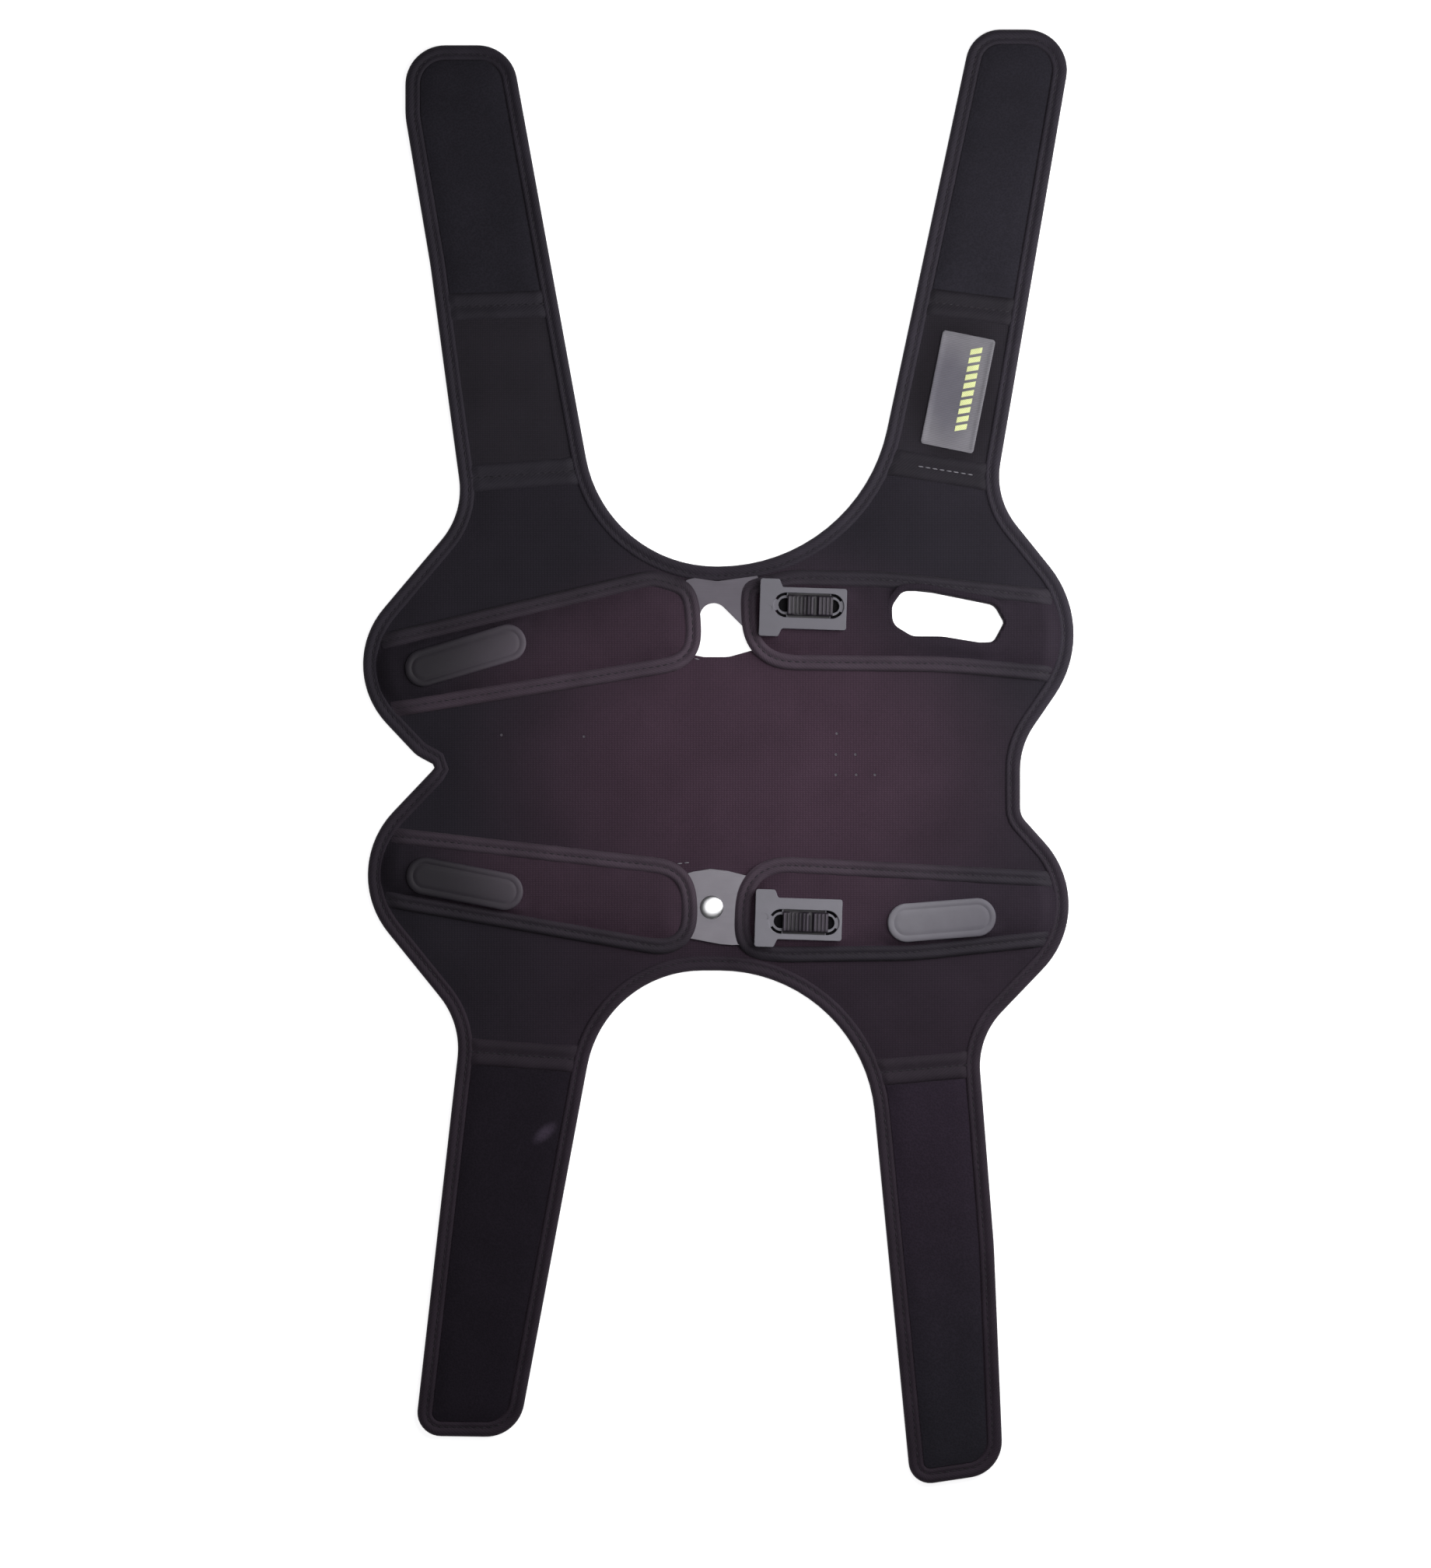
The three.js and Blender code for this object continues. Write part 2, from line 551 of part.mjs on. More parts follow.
// Plain label on the upper right strap
function addLabel() {
  const halfWide = LABEL_WIDE / 2;
  const halfLong = LABEL_LONG / 2;
  const corners = [
    { x: -halfWide, y: -halfLong, r: LABEL.r },
    { x: halfWide, y: -halfLong, r: LABEL.r },
    { x: halfWide, y: halfLong, r: LABEL.r },
    { x: -halfWide, y: halfLong, r: LABEL.r },
  ];
  const mesh = addPiece("strap_label", prism(roundedLoop(corners, 0, COARSE_STEP), 0, LABEL_THICK), "label");
  mesh.position.set(LABEL.x, LABEL.y, ON_SHEET);
  mesh.rotation.z = THREE.MathUtils.degToRad(LABEL.turn);
}

// T-shaped adjuster plate with a trough, a slot in its floor and a hollow underneath
function adjusterPlate(troughY) {
  const chamfer = 0.5;
  const under = PLATE_THICK - RECESS_DEEP - TROUGH_FLOOR;
  const outline = loft(ADJUSTER_OUTLINE, [
    [0, 0],
    [0, PLATE_THICK - chamfer],
    [chamfer, PLATE_THICK],
  ], { stepDegrees: SMALL_STEP });
  const trough = prism(oblong(RECESS_LONG, RECESS_WIDE), PLATE_THICK - RECESS_DEEP, PLATE_THICK + GAP);
  const slot = prism(oblong(SLOT_LONG, SLOT_WIDE), -GAP, PLATE_THICK + GAP);
  const hollow = prism(oblong(RECESS_LONG, RECESS_WIDE), -GAP, under);
  const cuts = [trough, slot, hollow].map((cut) => toSolid(cut.translate(0, troughY, 0)));
  return toGeometry(cuts.reduce((rest, cut) => rest.subtract(cut), toSolid(outline)));
}

// Ribbed slider: a cap in the trough, a neck through the slot and a foot under the floor
function adjusterSlider() {
  const capBottom = PLATE_THICK - RECESS_DEEP + GAP;
  const capTop = capBottom + CAP_THICK;
  const ribHigh = 0.6;
  const grooveDeep = 0.7;
  const ribFlank = 0.25; // share of the pitch on each side of a rib's flat top
  const pitch = SLIDER_LONG / SLIDER_RIBS;
  const half = SLIDER_LONG / 2;
  const profile = new THREE.Shape();
  profile.moveTo(-half, capBottom);
  profile.lineTo(half, capBottom);
  for (let rib = SLIDER_RIBS - 1; rib >= 0; rib -= 1) {
    const left = -half + rib * pitch;
    const level = capTop + (rib === SLIDER_GAP ? -grooveDeep : ribHigh);
    profile.lineTo(left + pitch, capTop);
    profile.lineTo(left + (1 - ribFlank) * pitch, level);
    profile.lineTo(left + ribFlank * pitch, level);
  }
  profile.lineTo(-half, capTop);
  const alongTrough = new THREE.Matrix4().makeBasis(
    new THREE.Vector3(1, 0, 0),
    new THREE.Vector3(0, 0, 1),
    new THREE.Vector3(0, -1, 0),
  );
  const cap = new THREE.ExtrudeGeometry(profile, { depth: SLIDER_WIDE, bevelEnabled: false });
  cap.translate(0, 0, -SLIDER_WIDE / 2).applyMatrix4(alongTrough);
  const neckLong = 14;
  const footLong = 18;
  const footBottom = GAP;
  const footTop = PLATE_THICK - RECESS_DEEP - TROUGH_FLOOR - GAP;
  const neck = prism(oblong(neckLong, SLOT_WIDE - 2 * GAP), footBottom, capBottom + GAP);
  const foot = prism(oblong(footLong, SLIDER_WIDE), footBottom, footTop);
  return toGeometry(toSolid(cap).add(toSolid(neck)).add(toSolid(foot)));
}

function addAdjusters() {
  for (const { name, x, y, outer } of ADJUSTERS) {
    const troughY = outer * TROUGH_SHIFT;
    const group = new THREE.Group();
    group.position.set(x, y, ON_POCKET);
    group.rotation.z = THREE.MathUtils.degToRad(ADJUSTER_TURN);
    addPiece(`adjuster_plate_${name}`, adjusterPlate(troughY), "plastic", group);
    const slider = addPiece(`adjuster_slider_${name}`, adjusterSlider(), "plastic", group);
    slider.position.set(SLIDER_REST, troughY, 0);
    brace.add(group);
  }
}

addSheet();
addEdgeBinding();
addSeamBands();
addGrips();
addHinges();
addRivet();
addPockets();
addPads();
addLabel();
addAdjusters();

export default brace;
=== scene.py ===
# %% [markdown]
# # Spring knee brace, laid open
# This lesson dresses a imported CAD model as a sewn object. The real one is a wraparound brace: a padded knit
# panel with four straps, taped edges, four pockets that hide the hinge arms, and two ribbed adjusters.
# The CAD gives every place and size. Its soft solids are made again here as cloth, and its hard ones get
# rounded edges. Sizes below are in millimetres, and MM turns them into Blender's metres.

import math

import bpy
import numpy as np
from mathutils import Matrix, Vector, noise
from mathutils.kdtree import KDTree


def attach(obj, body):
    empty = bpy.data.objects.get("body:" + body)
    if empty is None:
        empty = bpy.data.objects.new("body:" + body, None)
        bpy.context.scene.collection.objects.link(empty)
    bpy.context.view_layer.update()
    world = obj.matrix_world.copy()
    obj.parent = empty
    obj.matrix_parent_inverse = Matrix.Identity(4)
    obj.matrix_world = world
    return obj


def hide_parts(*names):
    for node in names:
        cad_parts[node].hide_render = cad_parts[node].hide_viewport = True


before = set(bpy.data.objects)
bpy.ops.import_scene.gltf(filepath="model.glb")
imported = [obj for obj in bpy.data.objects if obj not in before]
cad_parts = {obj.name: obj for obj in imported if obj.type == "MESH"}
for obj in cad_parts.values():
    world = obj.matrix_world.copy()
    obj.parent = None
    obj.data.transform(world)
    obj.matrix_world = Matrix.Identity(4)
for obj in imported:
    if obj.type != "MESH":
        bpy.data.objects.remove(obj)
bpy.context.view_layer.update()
MM = 0.001

# %% [markdown]
# The photograph looks straight down on the brace, so the camera hangs above it and needs no turning: a new
# camera already looks along -Z with +Y up. A long lens from far away keeps the straps parallel, as there.
# The lens follows from the picture's height, because the long side of the picture takes the sensor's width.

# %% Camera
PIXEL = 0.36 * MM
PICTURE_HIGH = 2016
BELOW_ORIGIN = 33  # pixels from the origin down to the picture's middle
CAMERA_HIGH, CLOTH_HIGH = 2.4, 0.003
SENSOR = 36
bpy.ops.object.select_all(action="DESELECT")
bpy.ops.object.camera_add(location=(0, -BELOW_ORIGIN * PIXEL, CAMERA_HIGH), rotation=(0, 0, 0))
camera = bpy.context.object
camera.data.sensor_width = SENSOR
camera.data.lens = SENSOR * (CAMERA_HIGH - CLOTH_HIGH) / (PICTURE_HIGH * PIXEL)
bpy.context.scene.camera = camera
print("lens", round(camera.data.lens, 1), "mm")

# %% [markdown]
# The studio is a light table: a white sheet that glows a little, so the floor stays plain white under any
# lamp. A long soft box low on the right gives the cloth its slow fall from light to dark, and a large one
# high above fills the shadows and shows in the metal. The Standard view keeps colours without a film curve.

# %% Light and floor
def linear(code):
    """An sRGB hex colour as the linear RGBA that Blender's sockets take."""
    shares = [int(code[i : i + 2], 16) / 255 for i in (1, 3, 5)]
    return (*(s / 12.92 if s <= 0.04045 else ((s + 0.055) / 1.055) ** 2.4 for s in shares), 1)


def fill(tree, node, sockets):
    """Fills a node's sockets with values, or with links from other nodes or sockets."""
    for name, value in sockets.items():
        if isinstance(value, bpy.types.Node):
            value = value.outputs[0]
        if isinstance(value, bpy.types.NodeSocket):
            tree.links.new(value, node.inputs[name])
        else:
            node.inputs[name].default_value = value


def add_node(tree, kind, sockets=None, **settings):
    """Adds a shader node with its settings, and fills its sockets."""
    node = tree.nodes.new("ShaderNode" + kind)
    for name, value in settings.items():
        setattr(node, name, value)
    fill(tree, node, sockets or {})
    return node


def new_material(name):
    """A node material and its tree."""
    made = bpy.data.materials.new(name)
    made.use_nodes = True
    return made, made.node_tree


LAMPS = [  # place, aim and sides in metres, watts
    ((0.32, 0.1, 0.36), (-0.05, 0.04, 0.0), (0.35, 0.7), 3.2),
    ((0.0, 0.0, 2.9), (0.0, 0.0, 0.0), (1.2, 1.2), 10.0),
]
for place, aim, sides, watts in LAMPS:
    bpy.ops.object.light_add(type="AREA", location=place)
    lamp = bpy.context.object
    lamp.data.energy = watts
    lamp.data.shape = "RECTANGLE"
    lamp.data.size, lamp.data.size_y = sides
    lamp.rotation_euler = (Vector(aim) - Vector(place)).to_track_quat("-Z", "Y").to_euler()

world = bpy.data.worlds.new("even_light")
world.use_nodes = True
glow = {"Color": linear("#fbfbff"), "Strength": 0.06}
fill(world.node_tree, world.node_tree.nodes["Background"], glow)
bpy.context.scene.world = world
bpy.context.scene.view_settings.view_transform = "Standard"

bpy.ops.mesh.primitive_plane_add(size=8, location=(0, 0, -0.2 * MM))
floor = bpy.context.object
floor.name = "floor"
paper, tree = new_material("white_paper")
looks = {"Base Color": linear("#f3f2f4"), "Roughness": 0.9}
looks |= {"Emission Color": linear("#ffffff"), "Emission Strength": 0.8}
fill(tree, tree.nodes["Principled BSDF"], looks)
floor.data.materials.append(paper)
print("lamps:", len(LAMPS))

# %% [markdown]
# ## Finishes
# The body is knit-faced neoprene: a foam sheet with a thin jersey glued on it. The jersey's loops stand in
# columns, about 1.3 mm apart here, coarser than real so that they show. Nylon jersey is matt with a faint
# bloom at low angles, which is what sheen gives. The plum cast is strongest in the middle of the panel, and
# the colour is painted darker outwards, most towards the left lobes: painted shade for the light's fall.

# %% Knit-faced neoprene
WAVE_SPAN = math.pi / 10  # a wave texture of scale 1 repeats after this many metres
ALL_OVER = (15, 0, 1.3, 40, 150)  # a fade: its middle x and y, its squash along Y, and from where to where


def dye_and_light_fade(tree, spot, middle, ends, fade=ALL_OVER):
    """A tone that goes from a place on the brace outwards, over distances in mm: partly the dye's own cast,
    mostly painted light and shade on the cloth and pads. The outer tone can have a fade of its own."""
    x, y, squash, near, far = fade
    place = {"Vector": spot, "Location": (-x * MM, -y * squash * MM, 0), "Scale": (1, squash, 0)}
    from_place = add_node(tree, "Mapping", place)
    reach = add_node(tree, "VectorMath", {0: from_place}, operation="LENGTH").outputs["Value"]
    span = {0: reach, 1: near * MM, 2: far * MM}
    share = add_node(tree, "MapRange", span, interpolation_type="SMOOTHSTEP")
    outer = linear(ends) if isinstance(ends, str) else dye_and_light_fade(tree, spot, *ends)
    return add_node(tree, "Mix", {0: share, 6: linear(middle), 7: outer}, data_type="RGBA").outputs[2]


def surface(tree, tone, shade, rough, height, relief, others):
    """Gives the shader a shaded tone, a roughness and a relief of some strength and depth in mm."""
    strength, deep = relief
    colour = add_node(tree, "VectorMath", {0: tone, "Scale": shade}, operation="SCALE")
    bump = add_node(tree, "Bump", {"Height": height, "Strength": strength, "Distance": deep * MM})
    looks = {"Base Color": colour, "Roughness": rough, "Normal": bump}
    fill(tree, tree.nodes["Principled BSDF"], looks | others)


def knit_cloth(name, middle, ends, wale, course, fade=ALL_OVER):
    """A jersey face whose colour fades outwards as painted shade, with its columns and rows so many mm apart.
    """
    made, tree = new_material(name)
    spot = add_node(tree, "TexCoord").outputs["Object"]
    mottle = add_node(tree, "TexNoise", {"Vector": spot, "Scale": 1 / 0.03, "Detail": 3})
    fuzz = add_node(tree, "TexNoise", {"Vector": spot, "Scale": 1 / 0.0009, "Detail": 2})
    lines = []
    for way, pitch in (("X", wale), ("Y", course)):
        wave = {"Vector": spot, "Scale": WAVE_SPAN / (pitch * MM), "Distortion": 1.2}
        wave |= {"Detail": 1, "Detail Scale": 2}
        lines.append(add_node(tree, "TexWave", wave, bands_direction=way).outputs["Fac"])
    loops = add_node(tree, "Math", {0: lines[0], 1: lines[1]}, operation="MULTIPLY")
    grain = add_node(tree, "Math", {0: loops, 1: fuzz}, operation="ADD")
    cast = add_node(tree, "Math", {0: mottle, 1: 0.5, 2: 0.5}, operation="MULTIPLY_ADD")
    shade = add_node(tree, "Math", {0: grain, 1: 0.35, 2: cast}, operation="MULTIPLY_ADD")
    rough = add_node(tree, "MapRange", {0: fuzz, 3: 0.72, 4: 0.95})
    tone = dye_and_light_fade(tree, spot, middle, ends, fade)
    bloom = {"Specular IOR Level": 0.12, "Sheen Weight": 0.02, "Sheen Roughness": 0.5}
    surface(tree, tone, shade, rough, grain, (0.35, 0.25), bloom)
    return made


# These fades are painted light and shade: the panel and pockets lighter in the middle, where the key lamp
# falls, and darker towards the lobes and ends; the strap darker round the label, as shade in its recess.
POCKET_FADE = (-10, -25, 0.9, 75, 140)
STRAP_FADE = (110, 170, 0.55, 13, 26)
DOWN_FADE = (0, -200, 1.0, 150, 300)
LOBE_SHADE = ("#2c242d", "#252229", (40, -120, 1.0, 70, 190))
POCKET_ENDS = ("#2b242d", "#221e25", (150, -40, 1.0, 60, 260))
STRAP_ENDS = ("#2b232c", "#29262c", DOWN_FADE)
neoprene = knit_cloth("knit_faced_neoprene", "#41313d", LOBE_SHADE, 1.3, 1.0)
pocket_cloth = knit_cloth("stretch_neoprene", "#3b2d38", POCKET_ENDS, 1.3, 1.0, POCKET_FADE)
strap_cloth = knit_cloth("stretch_strap_jersey", "#1f1c21", STRAP_ENDS, 1.1, 0.9, STRAP_FADE)
# Near-black jersey under the adjusters' slots: painted shade for the dark wells seen through them.
slot_shade_cloth = knit_cloth("slot_painted_shade_jersey", "#151317", "#121114", 1.1, 0.9)
print("made", neoprene.name, pocket_cloth.name, strap_cloth.name, "and", slot_shade_cloth.name)

# %% [markdown]
# The edges are bound in a folded polyester tape. Its twill lines run slantwise, and they follow the tape
# round every bend, so this material reads the tape's own UV map, which holds metres along and across it.
# Close-woven polyester is a little shinier and paler than the knit, which makes the edges stand out.

# %% Twill tape
TWILL_PITCH, TWILL_SLANT = 1.1, 52


def twill_tape(name, middle, ends, fade=ALL_OVER):
    """Woven tape with slanting twill lines, whose tone fades outwards as painted light and shade."""
    made, tree = new_material(name)
    along = add_node(tree, "TexCoord").outputs["UV"]
    spot = add_node(tree, "TexCoord").outputs["Object"]
    slant = add_node(tree, "Mapping", {"Vector": along, "Rotation": (0, 0, math.radians(TWILL_SLANT))})
    wave = {"Vector": slant, "Scale": WAVE_SPAN / (TWILL_PITCH * MM), "Distortion": 0.6, "Detail": 1}
    twill = add_node(tree, "TexWave", wave).outputs["Fac"]
    wear = add_node(tree, "TexNoise", {"Vector": spot, "Scale": 1 / 0.018, "Detail": 4})
    lint = add_node(tree, "TexNoise", {"Vector": spot, "Scale": 1 / 0.0007, "Detail": 1})
    grain = add_node(tree, "Math", {0: twill, 1: lint}, operation="ADD")
    cast = add_node(tree, "Math", {0: wear, 1: 0.7, 2: 0.45}, operation="MULTIPLY_ADD")
    shade = add_node(tree, "Math", {0: grain, 1: 0.2, 2: cast}, operation="MULTIPLY_ADD")
    rough = add_node(tree, "MapRange", {0: wear, 3: 0.6, 4: 0.85})
    tone = dye_and_light_fade(tree, spot, middle, ends, fade)
    surface(tree, tone, shade, rough, grain, (0.3, 0.2), {"Specular IOR Level": 0.15, "Sheen Weight": 0.03})
    return made


# Painted light and shade again: the edge tape darker along the arches, the pocket tape lit in the middle and
# darker towards the lobes, and the bands darker near the label.
POCKET_TAPE_FADE = (-12, 0, 1.9, 100, 185)
BAND_FADE = (108, 170, 1.0, 50, 110)
EDGE_ENDS = ("#302831", "#2e2a32", DOWN_FADE)
BAND_ENDS = ("#2e272f", "#2d2a31", DOWN_FADE)
edge_tape_cloth = twill_tape("twill_edge_tape", "#2a222b", EDGE_ENDS)
pocket_tape_cloth = twill_tape("twill_pocket_tape", "#473c46", "#2d2930", POCKET_TAPE_FADE)
band_cloth = twill_tape("twill_seam_band", "#262329", BAND_ENDS, BAND_FADE)
print("made", edge_tape_cloth.name, pocket_tape_cloth.name, "and", band_cloth.name)

# %% [markdown]
# The strap ends are faced with loop cloth, the soft half of a hook-and-loop closure: a napped felt of tiny
# loops that drinks the light, so it is the darkest cloth here. Cells of about 0.9 mm stand for the loops,
# coarser than real so that they show. Rubbing has left a pale scuff on the lower left one.

# %% Loop pile
SCUFF = {  # an oval: its middle, its turn, and half its length, width and depth
    "Location": [v * MM for v in (-79, -173.2, 4)],
    "Rotation": (0, 0, math.radians(42)),
    "Scale": [v * MM for v in (8.5, 4.0, 10)],
}
# The pile is painted darker at the lower left and lighter towards the middle: painted shade for the light's
# fall from the right.
PILE_FADE = (-100, -230, 1.0, 70, 200)
PILE_ENDS = ("#2d2530", "#28262d", (60, -130, 1.0, 60, 200))
loop_pile, tree = new_material("napped_loop_pile")
spot = add_node(tree, "TexCoord").outputs["Object"]
tufts = add_node(tree, "TexVoronoi", {"Vector": spot, "Scale": 1 / 0.0009, "Randomness": 1})
nap = add_node(tree, "TexNoise", {"Vector": spot, "Scale": 1 / 0.02, "Detail": 3})
depth = add_node(tree, "MapRange", {0: tufts, 1: 0, 2: 0.8, 3: 0.78, 4: 1.12})
lean = add_node(tree, "MapRange", {0: nap, 3: 0.75, 4: 1.2})
brush = add_node(tree, "Math", {0: lean, 1: depth}, operation="MULTIPLY")
in_oval = add_node(tree, "Mapping", {"Vector": spot} | SCUFF, vector_type="TEXTURE")
away = add_node(tree, "VectorMath", {0: in_oval}, operation="LENGTH").outputs["Value"]
scuff = add_node(tree, "MapRange", {0: away, 1: 0.2, 2: 1, 3: 3.4, 4: 1}, interpolation_type="SMOOTHSTEP")
worn = add_node(tree, "Math", {0: brush, 1: scuff}, operation="MULTIPLY")
rough = add_node(tree, "MapRange", {0: nap, 3: 0.85, 4: 1})
tone = dye_and_light_fade(tree, spot, "#221d25", PILE_ENDS, PILE_FADE)
bloom = {"Specular IOR Level": 0.08, "Sheen Weight": 0.02, "Sheen Roughness": 0.7}
surface(tree, tone, worn, rough, tufts, (0.4, 0.3), bloom)
print("made", loop_pile.name)

# %% [markdown]
# The adjusters are injection-moulded nylon. Moulding leaves a fine spark-eroded grain of about 0.4 mm and a
# satin face, and handling polishes it in patches, so roughness wanders over a few millimetres. The lower
# plate is the paler one. The pads on the pockets are pressed from one soft film with a finer grain; the left
# ones are painted darker and darker still towards the lobes, as shade, and the right one lighter, as light.

# %% Moulded plastics
def moulded(name, middle, ends, grit, shine, level, fade, height_shade=None):
    """Moulded plastic with a fine grain, grit millimetres across, whose tone fades outwards.

    Height shade gives two heights in mm and the tone at each: painted shade in low places, painted light on
    high ones.
    """
    made, tree = new_material(name)
    spot = add_node(tree, "TexCoord").outputs["Object"]
    grain = add_node(tree, "TexNoise", {"Vector": spot, "Scale": 1 / (grit * MM), "Detail": 2})
    rub = add_node(tree, "TexNoise", {"Vector": spot, "Scale": 1 / 0.007, "Detail": 4})
    shade = add_node(tree, "MapRange", {0: rub, 3: 0.86, 4: 1.14})
    if height_shade:
        low, low_tone, high, high_tone = height_shade
        height = add_node(tree, "SeparateXYZ", {0: spot}).outputs["Z"]
        levels = {0: height, 1: low * MM, 2: high * MM, 3: low_tone, 4: high_tone}
        painted_height_shade = add_node(tree, "MapRange", levels)
        shade = add_node(tree, "Math", {0: shade, 1: painted_height_shade}, operation="MULTIPLY")
    rough = add_node(tree, "MapRange", {0: rub, 3: shine - 0.08, 4: shine + 0.12})
    tone = dye_and_light_fade(tree, spot, middle, ends, fade)
    surface(tree, tone, shade, rough, grain, (0.25, 0.06), {"IOR": 1.53, "Specular IOR Level": level})
    return made


PLATE_FADE = (41, -74, 1.0, 50, 120)
PAD_FADE = (15, 0, 1.0, 50, 156)
# The slider is painted darker in its dish and low places and lighter on its rib tops: painted shade and
# highlight.
SLIDER_HEIGHT_SHADE = (11.0, 0.42, 12.0, 1.55)
plate_nylon = moulded("moulded_grey_nylon", "#7b7981", "#67656d", 0.4, 0.5, 0.35, PLATE_FADE)
slider_nylon = moulded("moulded_dark_nylon", "#38323b", "#322d35", 0.4, 0.42, 0.3, PLATE_FADE, SLIDER_HEIGHT_SHADE)
# One film in two tones: the left pads' darker tone is painted shade, the right pad's paler one painted light.
shaded_film = moulded("pressed_film_painted_shade", "#887d8a", "#252128", 0.3, 0.5, 0.25, PAD_FADE)
lit_film = moulded("pressed_film_painted_light", "#85838a", "#57545d", 0.3, 0.5, 0.3, PAD_FADE)
print("made", plate_nylon.name, slider_nylon.name, shaded_film.name, "and", lit_film.name)

# %% [markdown]
# The hinge plates are satin spring steel, ground along their length, which leaves hair lines about 0.25 mm
# apart. A metal has no colour under its surface, so Metallic is 1 and the base colour is its reflection.
# The rivet is nickel-plated and polished, so it throws back the lamps as a bright spot.

# %% Metals
def metal(name, code, roughness, lines):
    """Metal with hair lines along X, lines millimetres apart."""
    made, tree = new_material(name)
    spot = add_node(tree, "TexCoord").outputs["Object"]
    drawn = add_node(tree, "Mapping", {"Vector": spot, "Scale": (0.02, 1, 1)})
    hair = add_node(tree, "TexNoise", {"Vector": drawn, "Scale": 1 / (lines * MM), "Detail": 3})
    cloud = add_node(tree, "TexNoise", {"Vector": spot, "Scale": 1 / 0.012, "Detail": 3})
    shade = add_node(tree, "MapRange", {0: cloud, 3: 0.85, 4: 1.12})
    rough = add_node(tree, "MapRange", {0: hair, 3: roughness - 0.08, 4: roughness + 0.12})
    surface(tree, linear(code)[:3], shade, rough, hair, (0.12, 0.04), {"Metallic": 1})
    return made


spring_steel = metal("satin_spring_steel", "#757278", roughness=0.42, lines=0.25)
worn_steel = metal("worn_spring_steel", "#5e5a61", roughness=0.5, lines=0.25)
nickel = metal("polished_nickel", "#f4f4f6", roughness=0.3, lines=0.4)
print("made", spring_steel.name, worn_steel.name, "and", nickel.name)

# %% [markdown]
# The label is a close-woven damask in grey yarn with a paler rim, and its mark is satin-stitched in lime.
# Sewing thread is bonded polyester, a twisted cord whose strands catch a little light. The pin holes are
# painted pale, as light that shows through them. Each is a weave or grain of its own pitch.

# %% Yarn finishes
LABEL = {"x": 112.2, "y": 169.6, "turn": -11.4}
LABEL_FADE = (LABEL["x"] - 4, LABEL["y"], 0.5, 5, 15)


def yarn(name, code, pitch, turn, shine, rim=None):
    """Close threads, pitch millimetres apart and turned by degrees; a label's rim has a tone of its own."""
    made, tree = new_material(name)
    spot = add_node(tree, "TexCoord").outputs["Object"]
    turned = add_node(tree, "Mapping", {"Vector": spot, "Rotation": (0, 0, math.radians(turn))})
    wave = {"Vector": turned, "Scale": WAVE_SPAN / (pitch * MM), "Distortion": 0.8, "Detail": 1}
    weft = add_node(tree, "TexWave", wave, bands_direction="Y").outputs["Fac"]
    fade = add_node(tree, "TexNoise", {"Vector": spot, "Scale": 1 / 0.006, "Detail": 4})
    grain = add_node(tree, "Math", {0: weft, 1: fade}, operation="ADD")
    shade = add_node(tree, "MapRange", {0: grain, 1: 0.2, 2: 1.6, 3: 0.75, 4: 1.2})
    rough = add_node(tree, "MapRange", {0: fade, 3: shine - 0.1, 4: shine + 0.15})
    tone = dye_and_light_fade(tree, spot, code, rim, LABEL_FADE) if rim else linear(code)[:3]
    surface(tree, tone, shade, rough, weft, (0.4, 0.12), {"Specular IOR Level": 0.25})
    return made


label_weave = yarn("woven_grey_label", "#605e67", pitch=0.8, turn=11.4, shine=0.65, rim="#76747a")
lime_yarn = yarn("lime_satin_stitch", "#dde3a4", pitch=0.7, turn=50, shine=0.55)
thread = yarn("bonded_black_thread", "#2c292f", pitch=0.6, turn=30, shine=0.5)
# A pale thread row stands in for a light line and small glints: a painted highlight.
highlight_thread = yarn("painted_highlight_thread", "#85838a", pitch=0.6, turn=30, shine=0.5)
# The pin holes' pale tone is painted light.
pinhole_paint = yarn("pinhole_painted_light", "#67626a", pitch=0.5, turn=0, shine=0.85)
print("made", label_weave.name, lime_yarn.name, thread.name, highlight_thread.name, "and", pinhole_paint.name)

# %% [markdown]
# ## The pattern
# A sewn piece starts as a paper pattern. Here the pattern is one outline of straight sides with rounded
# corners, walked anticlockwise. An inset moves all its sides inwards, as for a seam allowance, so the same
# table gives the cloth's edge, the tape's inner edge and the line of stitches.

# %% Outline of the brace
OUTLINE = [  # corner x, corner y, rounding radius
    (-143.6, 330.1, 18.4),  # upper left tip, outer
    (-143.6, 297.0, 36.0),
    (-132.1, 228.6, 110.0),
    (-116.6, 113.4, 36.0),  # upper left strap root
    (-176.8, 42.1, 40.0),  # upper left lobe
    (-138.6, 1.4, 14.0),
    (-129.2, -3.6, 1.5),  # left notch
    (-175.0, -51.8, 42.5),  # lower left lobe
    (-117.7, -122.8, 38.0),
    (-139.3, -313.6, 11.0),  # lower left tip, outer
    (-91.4, -314.3, 18.0),
    (-51.1, -98.3, 54.0),  # lower arch
    (67.3, -98.3, 72.0),
    (90.4, -337.0, 10.0),  # lower right tip, inner
    (133.2, -330.5, 17.0),
    (128.9, -225.0, 150.0),
    (121.3, -129.2, 36.0),
    (179.3, -68.8, 43.0),  # lower right lobe
    (141.1, -26.3, 9.0),  # right waist
    (141.1, 5.8, 36.0),
    (178.2, 59.8, 50.0),  # upper right lobe
    (129.2, 120.6, 36.0),
    (166.2, 337.3, 18.7),  # upper right tip, outer
    (118.8, 337.3, 16.0),
    (65.9, 88.9, 79.5),  # upper arch
    (-50.8, 88.9, 61.0),
    (-94.7, 330.1, 18.4),
]


